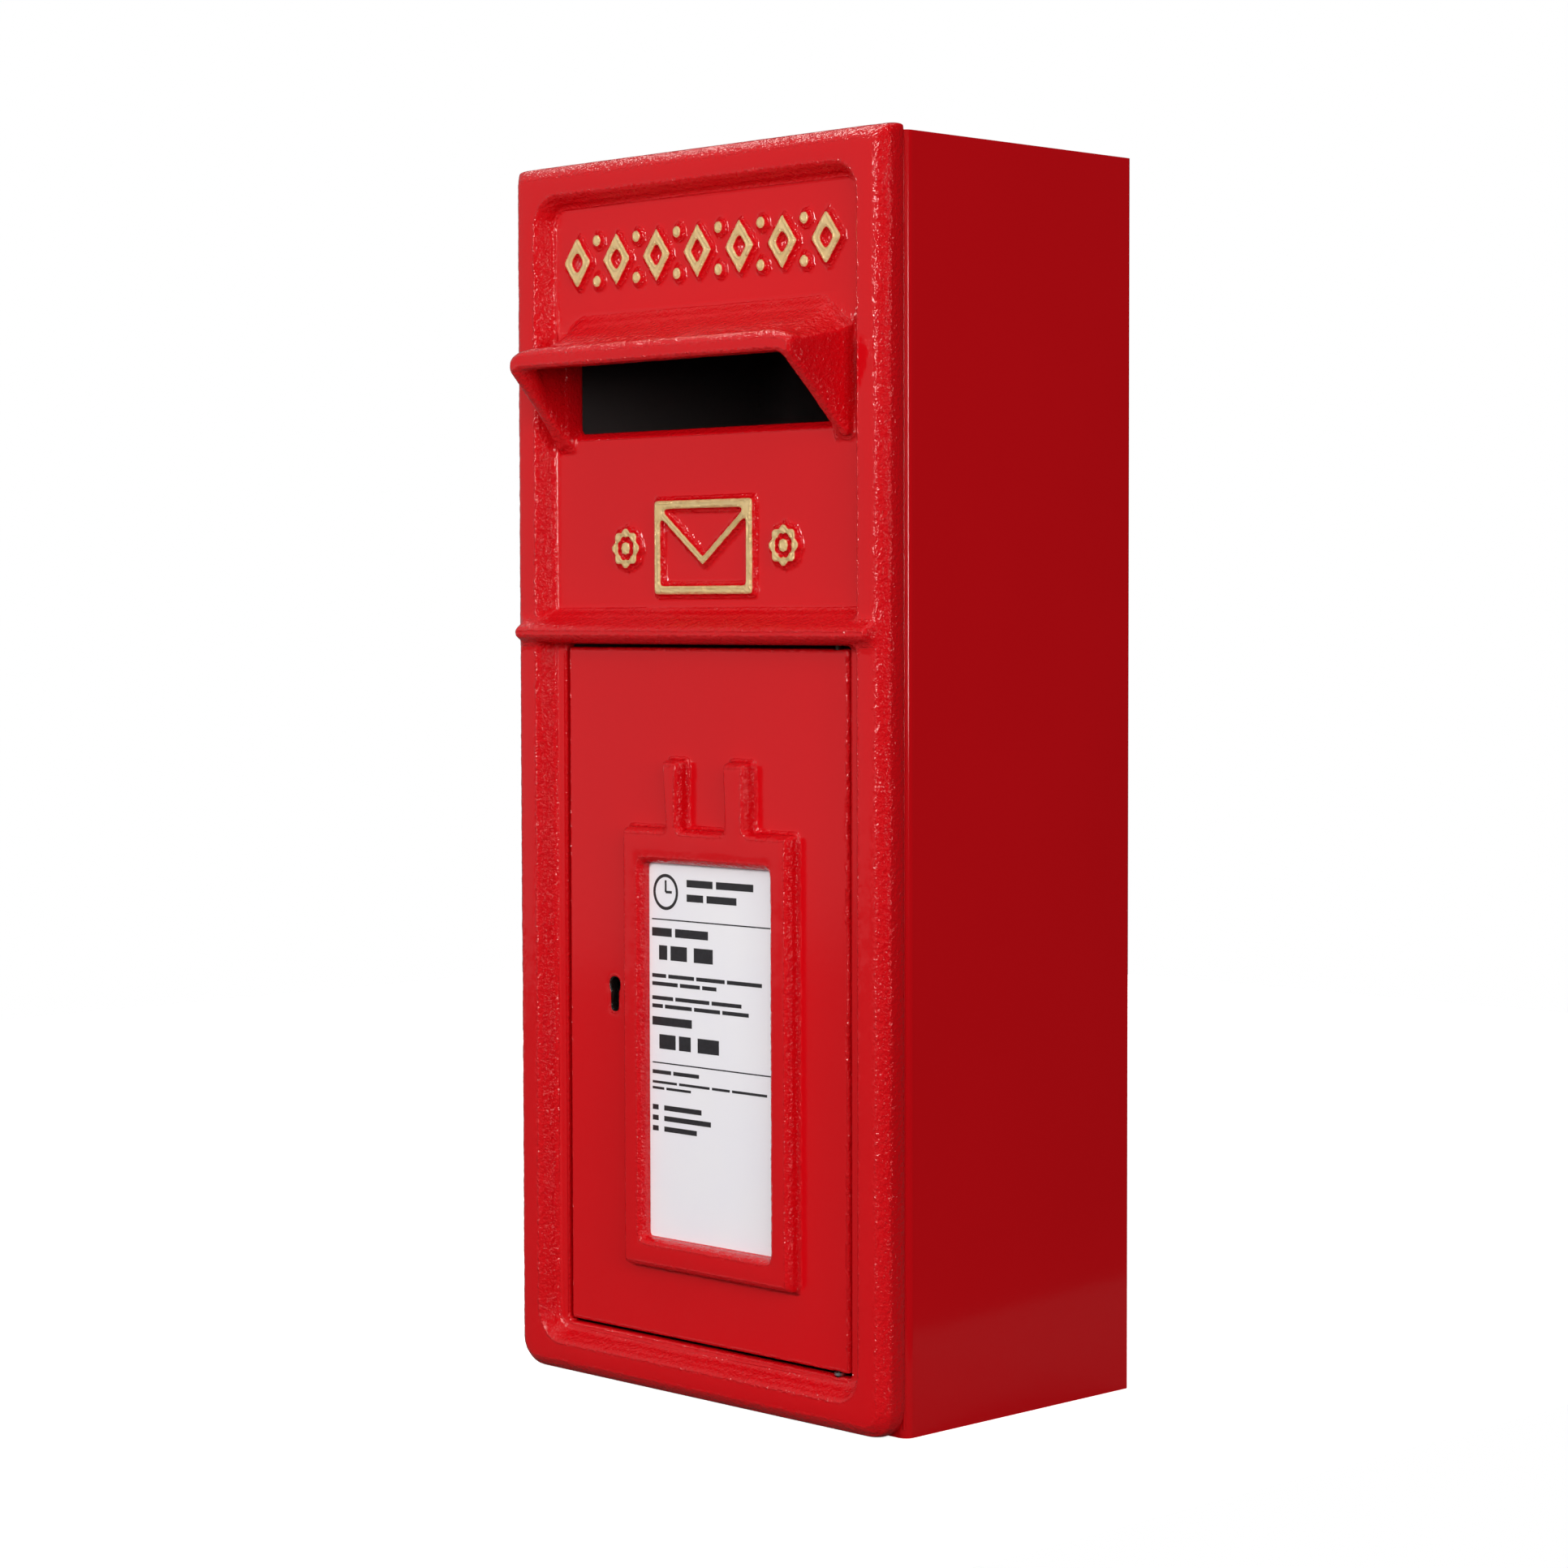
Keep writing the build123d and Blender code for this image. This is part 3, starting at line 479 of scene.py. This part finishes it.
    # Lumps go everywhere off the panel, and grit mostly where the surface curves away from the front.
    share = add_node(tree, "ShaderNodeMapRange", inputs={
        "Value": above, "From Min": just_off_ornament, "From Max": clear_of_ornament,
        "To Min": 0.12, "To Max": 1.0,
    }).outputs[0]
    off_panel = add_node(tree, "ShaderNodeMapRange", inputs={
        "Value": proud, "From Min": just_off_panel, "From Max": clear_of_panel,
    }).outputs[0]
    share = add_node(tree, "ShaderNodeMath", {"operation": "MULTIPLY"}, {0: share, 1: off_panel}).outputs[0]
    normal = add_node(tree, "GeometryNodeInputNormal").outputs[0]
    facing = add_node(tree, "ShaderNodeSeparateXYZ", inputs={0: normal}).outputs["Y"]
    facing = add_node(tree, "ShaderNodeMath", {"operation": "ABSOLUTE"}, {0: facing}).outputs[0]
    curved = add_node(tree, "ShaderNodeMapRange", inputs={
        "Value": facing, "From Min": 0.995, "From Max": 0.85, "To Min": 0.15, "To Max": 1.0,
    }).outputs[0]
    depths = []
    for kind, detail in (("Lump", 1.0), ("Grit", 2.0)):
        scale = add_node(tree, "ShaderNodeMath", {"operation": "DIVIDE"}, {0: 1.0, 1: given[kind + " Size"]})
        noise = add_node(tree, "ShaderNodeTexNoise", inputs={
            "Vector": place, "Scale": scale.outputs[0], "Detail": detail,
        })
        depths.append(add_node(tree, "ShaderNodeMath", {"operation": "MULTIPLY"}, {
            0: noise.outputs[0], 1: given[kind + " Depth"],
        }).outputs[0])
    grit = add_node(tree, "ShaderNodeMath", {"operation": "MULTIPLY"}, {0: depths[1], 1: curved}).outputs[0]
    depth = add_node(tree, "ShaderNodeMath", {"operation": "ADD"}, {0: depths[0], 1: grit}).outputs[0]
    depth = add_node(tree, "ShaderNodeMath", {"operation": "MULTIPLY"}, {0: depth, 1: share}).outputs[0]
    inwards = add_node(tree, "ShaderNodeMath", {"operation": "MULTIPLY"}, {0: depth, 1: -1.0}).outputs[0]
    offset = add_node(tree, "ShaderNodeVectorMath", {"operation": "SCALE"}, {0: normal, "Scale": inwards})
    rough = add_node(tree, "GeometryNodeSetPosition", inputs={
        "Geometry": rounded, "Offset": offset.outputs[0],
    }).outputs[0]
    end_tree(tree, rough, given["Material"])
    return tree


def sand_cast(node_name, piece_name, material, voxel, add_solids, corner_drop=0.0):
    """The node as a painted casting: remeshed fine, relaxed, roughened and thinned out on its flats."""
    piece = merged_copy(node_name, piece_name)
    shape = bmesh.new()
    shape.from_mesh(piece.data)
    add_solids(shape)
    shape.to_mesh(piece.data)
    shape.free()
    remesh = piece.modifiers.new("remesh", "REMESH")
    remesh.mode = "VOXEL"
    remesh.voxel_size = voxel
    rough = piece.modifiers.new("rough", "NODES")
    rough.node_group = cast_tree
    set_inputs(rough, {
        **casting_sizes, "Panel Level": panel_y, "Hood Corner Drop": corner_drop, "Material": material,
    })
    thin = piece.modifiers.new("thin", "DECIMATE")
    thin.ratio = mesh_kept
    even = piece.modifiers.new("even", "WEIGHTED_NORMAL")
    even.weight = 50
    bake_modifiers(piece)
    piece.data.shade_smooth()
    return piece


def gild(tree, shader):
    """Mix gold over the red where the surface stands high within the ornament's two bands."""
    gilt_height, gilt_edge = 0.0022, 0.00025
    gilt_half_width = 0.098
    gilt_bands = ((box_top - 0.047, 0.0155), (box_top - 0.183, 0.026))
    gilt_metal, gilt_roughness = 0.2, 0.36
    place = add_node(tree, "ShaderNodeTexCoord").outputs["Object"]
    axes = add_node(tree, "ShaderNodeSeparateXYZ", inputs={0: place}).outputs
    waver = add_node(tree, "ShaderNodeTexNoise", inputs={"Vector": place, "Scale": 260.0})
    waver = add_node(tree, "ShaderNodeMath", {"operation": "MULTIPLY"}, {
        0: waver.outputs[0], 1: 2 * gilt_edge,
    })
    level = add_node(tree, "ShaderNodeMath", {"operation": "ADD"}, {0: axes["Y"], 1: waver.outputs[0]})
    high = add_node(tree, "ShaderNodeMapRange", inputs={
        "Value": level.outputs[0],
        "From Min": panel_y - gilt_height + gilt_edge,
        "From Max": panel_y - gilt_height,
    }).outputs[0]
    bands = []
    for middle, half in gilt_bands:
        bands.append(add_node(tree, "ShaderNodeMath", {"operation": "COMPARE"}, {
            0: axes["Z"], 1: middle, 2: half,
        }).outputs[0])
    band = add_node(tree, "ShaderNodeMath", {"operation": "MAXIMUM"}, {0: bands[0], 1: bands[1]}).outputs[0]
    across = add_node(tree, "ShaderNodeMath", {"operation": "COMPARE"}, {
        0: axes["X"], 1: 0.0, 2: gilt_half_width,
    }).outputs[0]
    mask = add_node(tree, "ShaderNodeMath", {"operation": "MULTIPLY"}, {0: band, 1: across}).outputs[0]
    mask = add_node(tree, "ShaderNodeMath", {"operation": "MULTIPLY"}, {0: mask, 1: high}).outputs[0]
    red = shader.inputs["Base Color"].links[0].from_socket
    streaks = add_node(tree, "ShaderNodeTexNoise", inputs={"Vector": place, "Scale": 180.0, "Detail": 3.0})
    gold = add_node(tree, "ShaderNodeMix", {"data_type": "RGBA"}, {
        "Factor": streaks.outputs[0], 6: hex_colour("D9B878"), 7: hex_colour("EFD7A2"),
    })
    both = add_node(tree, "ShaderNodeMix", {"data_type": "RGBA"}, {
        "Factor": mask, 6: red, 7: gold.outputs[2],
    })
    tree.links.new(both.outputs[2], shader.inputs["Base Color"])
    metal = add_node(tree, "ShaderNodeMath", {"operation": "MULTIPLY"}, {0: mask, 1: gilt_metal})
    tree.links.new(metal.outputs[0], shader.inputs["Metallic"])
    rough = add_node(tree, "ShaderNodeMapRange", inputs={
        "Value": mask, "To Min": shader.inputs["Roughness"].default_value, "To Max": gilt_roughness,
    })
    tree.links.new(rough.outputs[0], shader.inputs["Roughness"])


def add_grit(tree, shader, peel_bump):
    """Fine sand grit under the paint, on rounded and sloping parts only, drawn about 2 mm coarse to show."""
    coordinates = add_node(tree, "ShaderNodeTexCoord")
    facing = add_node(tree, "ShaderNodeSeparateXYZ", inputs={0: coordinates.outputs["Normal"]}).outputs["Y"]
    facing = add_node(tree, "ShaderNodeMath", {"operation": "ABSOLUTE"}, {0: facing}).outputs[0]
    curved = add_node(tree, "ShaderNodeMapRange", inputs={
        "Value": facing, "From Min": 0.998, "From Max": 0.93,
    }).outputs[0]
    grit = add_node(tree, "ShaderNodeTexNoise", inputs={
        "Vector": coordinates.outputs["Object"], "Scale": 520.0, "Detail": 2.0, "Roughness": 0.6,
    })
    height = add_node(tree, "ShaderNodeMath", {"operation": "MULTIPLY"}, {0: grit.outputs[0], 1: curved})
    grit_bump = add_node(tree, "ShaderNodeBump", inputs={
        "Height": height.outputs[0], "Distance": 0.0008, "Strength": 1.0, "Normal": peel_bump.outputs[0],
    })
    tree.links.new(grit_bump.outputs[0], shader.inputs["Normal"])


def add_roll(shape, points):
    """Closed balls and cones along points of (x, y, z, radius), for the remesh to melt in."""
    for x, y, z, radius in points:
        bmesh.ops.create_uvsphere(
            shape, u_segments=20, v_segments=12, radius=radius, matrix=Matrix.Translation((x, y, z)),
        )
    for first, second in zip(points, points[1:]):
        start, end = Vector(first[:3]), Vector(second[:3])
        turn = (end - start).to_track_quat("Z", "Y").to_matrix().to_4x4()
        bmesh.ops.create_cone(
            shape, cap_ends=True, segments=20, radius1=first[3], radius2=second[3],
            depth=(end - start).length, matrix=Matrix.Translation((start + end) / 2) @ turn,
        )


def add_hood_rolls(shape):
    """The thick rolled lip along the front of the hood and down its two cheeks."""
    lip_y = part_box("front_casting")[0][1]
    lip_radius, foot_radius = 0.0060, 0.0030
    lip_half, foot_half = 0.095, 0.099
    lip_z, foot_z = box_top - 0.0940, box_top - 0.1325
    for side in (-1, 1):
        add_roll(shape, (
            (0.0, lip_y + lip_radius, lip_z, lip_radius),
            (side * (lip_half - lip_radius), lip_y + lip_radius, lip_z, lip_radius),
            (side * (foot_half - foot_radius), panel_y - foot_radius, foot_z, foot_radius),
        ))


cast_tree = cast_surface_tree()
front_enamel, tree, shader, peel_bump = red_enamel(
    "gloss_enamel_on_sand_casting", peel_depth=0.00003, roughness=0.13,
)
gild(tree, shader)
add_grit(tree, shader, peel_bump)
cast_front = sand_cast(
    "front_casting", "cast_front", front_enamel, front_voxel, add_hood_rolls, hood_corner_drop,
)
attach(cast_front, "box")
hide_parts("front_casting")


# Door: a flat cast leaf with the notice frame and its two tabs, hung on pins at its right edge.
# Same enamel as the front, without gilding. The keyhole's walls are painted near black: painted shade for the
# dark inside of the hole.
keyhole_x, keyhole_half_width = -0.062, 0.0055
keyhole_z, keyhole_half_height = 0.1845, 0.0115
door_voxel = 0.0009
door_enamel, tree, shader, peel_bump = red_enamel(
    "gloss_enamel_on_cast_door", peel_depth=0.00002, roughness=0.13,
)
add_grit(tree, shader, peel_bump)

# Painted shade: behind the leaf's front face, the keyhole's walls are coloured near black to stand in for the
# shade deep in the hole.
coordinates = add_node(tree, "ShaderNodeTexCoord").outputs
axes = add_node(tree, "ShaderNodeSeparateXYZ", inputs={0: coordinates["Object"]}).outputs
keyhole_shade_mask = add_node(tree, "ShaderNodeMath", {"operation": "GREATER_THAN"}, {
    0: axes["Y"], 1: panel_y + 0.0005,
}).outputs[0]
for axis, middle, half in (
    ("X", keyhole_x, keyhole_half_width),
    ("Z", keyhole_z, keyhole_half_height),
):
    near = add_node(tree, "ShaderNodeMath", {"operation": "COMPARE"}, {0: axes[axis], 1: middle, 2: half})
    keyhole_shade_mask = add_node(tree, "ShaderNodeMath", {"operation": "MULTIPLY"}, {
        0: keyhole_shade_mask, 1: near.outputs[0],
    }).outputs[0]
red = shader.inputs["Base Color"].links[0].from_socket
keyhole_shaded_colour = add_node(tree, "ShaderNodeMix", {"data_type": "RGBA"}, {
    "Factor": keyhole_shade_mask, 6: red, 7: hex_colour("181413"),
})
tree.links.new(keyhole_shaded_colour.outputs[2], shader.inputs["Base Color"])


def add_layers(shape, layers, ring):
    """A closed solid through layers of corner points: the last layer meets the first, or both are capped."""
    loops = [[shape.verts.new(corner) for corner in layer] for layer in layers]
    pairs = list(zip(loops, loops[1:]))
    if ring:
        pairs.append((loops[-1], loops[0]))
    for near, far in pairs:
        for i, corner in enumerate(near):
            j = (i + 1) % len(near)
            shape.faces.new((corner, near[j], far[j], far[i]))
    if not ring:
        shape.faces.new(loops[0][::-1])
        shape.faces.new(loops[-1])


def add_notice_moulding(shape):
    """The cushion-shaped moulding round the notice, with steep sides, and its two upright tabs."""
    rise = panel_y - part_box("door")[0][1]
    left, right, low, high = -0.0491, 0.0629, 0.0585, 0.2662
    side_width, low_width, high_width = 0.013, 0.014, 0.0165
    section = (
        (0.0, -0.08), (0.0, 0.78), (0.05, 0.92), (0.15, 0.985), (0.35, 1.0),
        (0.7, 1.0), (0.87, 0.96), (0.97, 0.84), (1.0, 0.66), (1.0, -0.08),
    )
    layers = []
    for across, up in section:
        y = panel_y - rise * up
        x_inset = side_width * across
        layers.append((
            (left + x_inset, y, low + low_width * across),
            (right - x_inset, y, low + low_width * across),
            (right - x_inset, y, high - high_width * across),
            (left + x_inset, y, high - high_width * across),
        ))
    add_layers(shape, layers, ring=True)
    tab_foot, tab_head = high - 0.0028, high + 0.032
    for middle, foot, head, lean in ((-0.0146, 0.0086, 0.0122, -0.0012), (0.0276, 0.014, 0.0152, -0.0006)):
        layers = []
        for inset, up in ((0.0, -0.08), (0.0, 0.8), (0.0007, 0.95), (0.0020, 1.0)):
            y = panel_y - rise * up
            layers.append((
                (middle - foot / 2 + inset, y, tab_foot),
                (middle + foot / 2 - inset, y, tab_foot),
                (middle + lean + head / 2 - inset, y, tab_head - inset),
                (middle + lean - head / 2 + inset, y, tab_head - inset),
            ))
        add_layers(shape, layers, ring=False)


cast_door = sand_cast("door", "cast_door", door_enamel, door_voxel, add_notice_moulding)
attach(cast_door, "door")
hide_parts("door")


# Notice card: a stiff printed plate, white with black ink, glued inside the moulding on the door.
# The ink is a raised film of screen print: a clock sign, rules and plain bars.
card_material, tree, output = new_material("white_printed_plate")
place = add_node(tree, "ShaderNodeTexCoord").outputs["Object"]
stock = add_node(tree, "ShaderNodeTexNoise", inputs={"Vector": place, "Scale": 30.0, "Detail": 3.0})
tint = add_node(tree, "ShaderNodeMix", {"data_type": "RGBA"}, {
    "Factor": stock.outputs[0], 6: hex_colour("F0F2FF"), 7: hex_colour("F6F8FF"),
})
grain = add_node(tree, "ShaderNodeTexNoise", inputs={"Vector": place, "Scale": 900.0, "Detail": 2.0})
grain = add_node(tree, "ShaderNodeBump", inputs={"Height": grain.outputs[0], "Distance": 0.00001})
shader = add_node(tree, "ShaderNodeBsdfPrincipled", inputs={
    "Base Color": tint.outputs[2], "Roughness": 0.38, "IOR": 1.46, "Normal": grain.outputs[0],
})
tree.links.new(shader.outputs["BSDF"], output.inputs["Surface"])
card = nodes["notice_card"]
card.data.materials.clear()
card.data.materials.append(card_material)

ink_material, tree, output = new_material("black_screen_ink")
place = add_node(tree, "ShaderNodeTexCoord").outputs["Object"]
patchy = add_node(tree, "ShaderNodeTexNoise", inputs={"Vector": place, "Scale": 500.0, "Detail": 2.0})
ink_colour = add_node(tree, "ShaderNodeMix", {"data_type": "RGBA"}, {
    "Factor": patchy.outputs[0], 6: hex_colour("17171B"), 7: hex_colour("2C2C33"),
})
shader = add_node(tree, "ShaderNodeBsdfPrincipled", inputs={
    "Base Color": ink_colour.outputs[2], "Roughness": 0.45, "IOR": 1.48,
})
tree.links.new(shader.outputs["BSDF"], output.inputs["Surface"])

ink_film = 0.0001
card_low, card_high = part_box("notice_card")
left_margin, right_margin = 0.002, 0.004
ink_left, ink_right = card_low[0] + left_margin, card_high[0] - right_margin
ink_width = ink_right - ink_left
ink = bmesh.new()


def ink_block(left, right, low, high):
    """A closed film of ink over a rectangle of the card."""
    block = bmesh.ops.create_cube(ink, size=1.0)["verts"]
    for corner in block:
        corner.co.x = left if corner.co.x < 0 else right
        corner.co.y = card_low[1] - (ink_film if corner.co.y < 0 else -ink_film / 2)
        corner.co.z = low if corner.co.z < 0 else high


def ink_ring(x, z, outer, inner, sides=32):
    """A closed ring of ink, for the clock sign."""
    rows = []
    for y in (card_low[1] - ink_film, card_low[1] + ink_film / 2):
        for radius in (outer, inner):
            rows.append([
                ink.verts.new((
                    x + radius * math.cos(math.tau * i / sides),
                    y,
                    z + radius * math.sin(math.tau * i / sides),
                ))
                for i in range(sides)
            ])
    front_out, front_in, back_out, back_in = rows
    for near, far in ((front_out, front_in), (front_in, back_in), (back_in, back_out), (back_out, front_out)):
        for i in range(sides):
            j = (i + 1) % sides
            ink.faces.new((near[i], near[j], far[j], far[i]))


def ink_line(z, height, ends):
    """One row of bars; ends are shares of the print width, in pairs."""
    for start, stop in zip(ends[::2], ends[1::2]):
        ink_block(ink_left + ink_width * start, ink_left + ink_width * stop, z, z + height)


clock_x, clock_z = ink_left + 0.0095, card_high[2] - 0.0135
clock_outer, clock_inner = 0.0085, 0.0070
hand_half, long_hand, short_hand = 0.0006, 0.0055, 0.0042
ink_ring(clock_x, clock_z, clock_outer, clock_inner)
ink_block(clock_x - hand_half, clock_x + hand_half, clock_z, clock_z + long_hand)
ink_block(clock_x, clock_x + short_hand, clock_z - hand_half, clock_z + hand_half)
for below_top, height, ends in (
    (0.0105, 0.0034, (0.30, 0.52, 0.55, 0.86)),
    (0.0173, 0.0034, (0.30, 0.44, 0.47, 0.72)),
    (0.0268, 0.0006, (0.0, 1.0)),
    (0.0345, 0.0040, (0.0, 0.17, 0.20, 0.48)),
    (0.0455, 0.0068, (0.06, 0.13, 0.16, 0.30, 0.36, 0.52)),
    (0.0540, 0.0018, (0.0, 0.12, 0.14, 0.36, 0.38, 0.62, 0.64, 0.93)),
    (0.0578, 0.0018, (0.0, 0.22, 0.24, 0.41, 0.43, 0.55)),
    (0.0645, 0.0018, (0.0, 0.18, 0.20, 0.49, 0.51, 0.76)),
    (0.0683, 0.0018, (0.0, 0.09, 0.11, 0.34, 0.36, 0.58, 0.60, 0.82)),
    (0.0765, 0.0040, (0.0, 0.34)),
    (0.0875, 0.0068, (0.06, 0.20, 0.23, 0.33, 0.39, 0.57)),
    (0.0945, 0.0006, (0.0, 1.0)),
    (0.0995, 0.0018, (0.0, 0.16, 0.18, 0.40)),
    (0.1040, 0.0012, (0.0, 0.21, 0.23, 0.49, 0.51, 0.66, 0.68, 0.97)),
    (0.1068, 0.0012, (0.0, 0.10, 0.12, 0.33)),
    (0.1165, 0.0024, (0.0, 0.05, 0.10, 0.42)),
    (0.1215, 0.0024, (0.0, 0.05, 0.10, 0.50)),
    (0.1265, 0.0024, (0.0, 0.05, 0.10, 0.38)),
):
    ink_line(card_high[2] - below_top, height, ends)
bmesh.ops.recalc_face_normals(ink, faces=ink.faces)
ink_mesh = bpy.data.meshes.new("notice_ink")
ink.to_mesh(ink_mesh)
ink.free()
ink_mesh.materials.append(ink_material)
notice_ink = bpy.data.objects.new("notice_ink", ink_mesh)
scene.collection.objects.link(notice_ink)
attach(notice_ink, "door")


# Hinge washers: stamped rings with bright zinc plating. Hinge pins: greased steel, coloured near black as
# painted shade for the dark hinge gap.
# Zinc over worn tooling gives a greyish metal with soft blotches about 2 mm across.
def metal_finish(name, dark_hex, light_hex, blotch_size, stretch, smooth, dull, bump_depth):
    """Metal whose colour and roughness vary in blotches, drawn out along one axis by stretch."""
    material, tree, output = new_material(name)
    place = add_node(tree, "ShaderNodeTexCoord").outputs["Object"]
    place = add_node(tree, "ShaderNodeMapping", inputs={"Vector": place, "Scale": stretch}).outputs[0]
    blotch = add_node(tree, "ShaderNodeTexNoise", inputs={
        "Vector": place, "Scale": 1 / blotch_size, "Detail": 4.0, "Roughness": 0.6,
    }).outputs[0]
    colour = add_node(tree, "ShaderNodeMix", {"data_type": "RGBA"}, {
        "Factor": blotch, 6: hex_colour(dark_hex), 7: hex_colour(light_hex),
    })
    rough = add_node(tree, "ShaderNodeMapRange", inputs={"Value": blotch, "To Min": smooth, "To Max": dull})
    bump = add_node(tree, "ShaderNodeBump", inputs={"Height": blotch, "Distance": bump_depth})
    shader = add_node(tree, "ShaderNodeBsdfPrincipled", inputs={
        "Base Color": colour.outputs[2], "Metallic": 1.0, "Roughness": rough.outputs[0],
        "Normal": bump.outputs[0],
    })
    tree.links.new(shader.outputs["BSDF"], output.inputs["Surface"])
    return material


def dress(material, *node_names):
    """Give CAD nodes a material."""
    for node_name in node_names:
        nodes[node_name].data.materials.clear()
        nodes[node_name].data.materials.append(material)


zinc_plate = metal_finish(
    "bright_zinc_plate", "9DA0A6", "C6C9CE",
    blotch_size=0.002, stretch=(1, 1, 1), smooth=0.25, dull=0.5, bump_depth=0.00001,
)
# Painted shade: the pins are greased steel made near black, far darker than bare steel, so the hinge gap
# shows dark.
greased_shaded_steel = metal_finish(
    "greased_hinge_steel_painted_shade", "26231F", "45403A",
    blotch_size=0.0015, stretch=(1, 1, 1), smooth=0.3, dull=0.5, bump_depth=0.00001,
)
dress(zinc_plate, "hinge_washer", "casting_washers")
dress(greased_shaded_steel, "hinge_pin_bottom", "hinge_pin_top")


# Socket screws: zinc-plated steel cap screws, ten that draw the casting onto the box and four for the lock.
# Each is turned to its own angle, as fitted by hand. Their heads are sized from the shank's radius.
def cap_screw_tree():
    """Geometry tree that sets a hexagon-socket cap screw on each point, its head towards +Y."""
    tree, given = new_geometry_tree("cap_screws", (
        "Shank Radius", "Grip", "Head Radius", "Head Height", "Socket Radius",
    ), ("Seed",))
    circle = add_node(tree, "GeometryNodeMeshCircle", {"fill_type": "NGON"}, {
        "Vertices": 24, "Radius": given["Shank Radius"],
    }).outputs[0]
    tip = add_node(tree, "GeometryNodeFlipFaces", inputs={0: circle}).outputs[0]
    head_step, chamfer_step, socket_step, chamfer_radius = (
        add_node(tree, "ShaderNodeMath", {"operation": "MULTIPLY"}, {0: given[size], 1: share}).outputs[0]
        for size, share in (
            ("Head Height", 0.85),
            ("Head Height", 0.15),
            ("Head Height", -0.6),
            ("Head Radius", 0.9),
        )
    )
    body, top = circle, None
    last_radius = given["Shank Radius"]
    for length, radius in (
        (given["Grip"], given["Shank Radius"]),
        (0.0, given["Head Radius"]),
        (head_step, given["Head Radius"]),
        (chamfer_step, chamfer_radius),
        (0.0, given["Socket Radius"]),
        (socket_step, given["Socket Radius"]),
    ):
        step = add_node(tree, "GeometryNodeExtrudeMesh", {"mode": "FACES"}, {
            "Mesh": body, "Offset Scale": length, "Individual": False,
        })
        if top is not None:
            tree.links.new(top, step.inputs["Selection"])
        body, top = step.outputs["Mesh"], step.outputs["Top"]
        if radius is not last_radius:
            growth = add_node(tree, "ShaderNodeMath", {"operation": "DIVIDE"}, {0: radius, 1: last_radius})
            body = add_node(tree, "GeometryNodeScaleElements", inputs={
                "Geometry": body, "Selection": top, "Scale": growth.outputs[0],
            }).outputs[0]
        last_radius = radius
    whole = add_node(tree, "GeometryNodeJoinGeometry")
    tree.links.new(body, whole.inputs[0])
    tree.links.new(tip, whole.inputs[0])
    whole = add_node(tree, "GeometryNodeMergeByDistance", inputs={
        "Geometry": whole.outputs[0], "Distance": 1e-6,
    })
    spin = add_node(tree, "FunctionNodeRandomValue", {"data_type": "FLOAT"}, {"Seed": given["Seed"]})
    for socket in spin.inputs:
        if socket.enabled and socket.name == "Max":
            socket.default_value = math.tau
    angle = next(socket for socket in spin.outputs if socket.enabled)
    turn = add_node(tree, "ShaderNodeCombineXYZ", inputs={"Z": angle})
    upright = add_node(tree, "FunctionNodeEulerToRotation", inputs={0: turn.outputs[0]})
    laid = add_node(tree, "FunctionNodeRotateRotation", {"rotation_space": "GLOBAL"}, {
        0: upright.outputs[0], 1: (-math.pi / 2, 0.0, 0.0),
    })
    screws = add_node(tree, "GeometryNodeInstanceOnPoints", inputs={
        "Points": given["Geometry"], "Instance": whole.outputs[0], "Rotation": laid.outputs[0],
    })
    end_tree(tree, screws.outputs[0], given["Material"])
    return tree


screw_tree = cap_screw_tree()
column_x, row_heights, end_heights = 0.1145, (0.070, 0.21667, 0.36333, 0.510), (0.5674, 0.010)
casting_spots = [(side * column_x, z) for side in (-1, 1) for z in row_heights]
casting_spots += [(0, z) for z in end_heights]
lock_x, lock_half_width = -0.0623, 0.022
lock_z, lock_half_height = 0.1948, 0.029
lock_spots = [
    (lock_x + side * lock_half_width, lock_z + end * lock_half_height) for side in (-1, 1) for end in (-1, 1)
]
for piece_name, node_name, body, spots, radius, seed in (
    ("casting_cap_screws", "casting_screws", "box", casting_spots, 0.0025, 3),
    ("lock_cap_screws", "lock_screws", "door", lock_spots, 0.0020, 8),
):
    tip_y, head_y = (corner[1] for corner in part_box(node_name))
    head_height = 1.5 * radius
    screws = line_object(piece_name, [(x, tip_y, z) for x, z in spots])
    place_screws = screws.modifiers.new("place_screws", "NODES")
    place_screws.node_group = screw_tree
    set_inputs(place_screws, {
        "Shank Radius": radius, "Grip": head_y - tip_y - head_height, "Head Radius": 1.8 * radius,
        "Head Height": head_height, "Socket Radius": 0.9 * radius, "Seed": seed, "Material": zinc_plate,
    })
    bake_modifiers(screws)
    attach(screws, body)
    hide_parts(node_name)


# Rim lock on the back of the door: a pressed steel case and cover, a cast brass bolt and a brass guide pin.
# The pressings keep the mill's rolling grain, drawn out along the strip; the brass is tumbled and dull.
lock_steel = metal_finish(
    "rolled_lock_steel", "7F8286", "A9ACB0",
    blotch_size=0.0012, stretch=(0.15, 1, 1), smooth=0.3, dull=0.5, bump_depth=0.00001,
)
lock_brass = metal_finish(
    "tumbled_brass", "A8873F", "D0AE62",
    blotch_size=0.003, stretch=(1, 1, 1), smooth=0.25, dull=0.45, bump_depth=0.00001,
)
dress(lock_steel, "lock_case", "lock_cover")
dress(lock_brass, "lock_bolt", "bolt_guide_pin")


# Bolt spring: a bowed leaf of oil-tempered steel on the bolt's top edge.
# Sheared from strip and bent, it rubs under the case's top wall; the oil temper leaves it almost black.
spring_steel = metal_finish(
    "oil_tempered_steel", "3A3C40", "5C5E63",
    blotch_size=0.0015, stretch=(1, 1, 1), smooth=0.3, dull=0.45, bump_depth=0.000005,
)
dress(spring_steel, "bolt_spring")
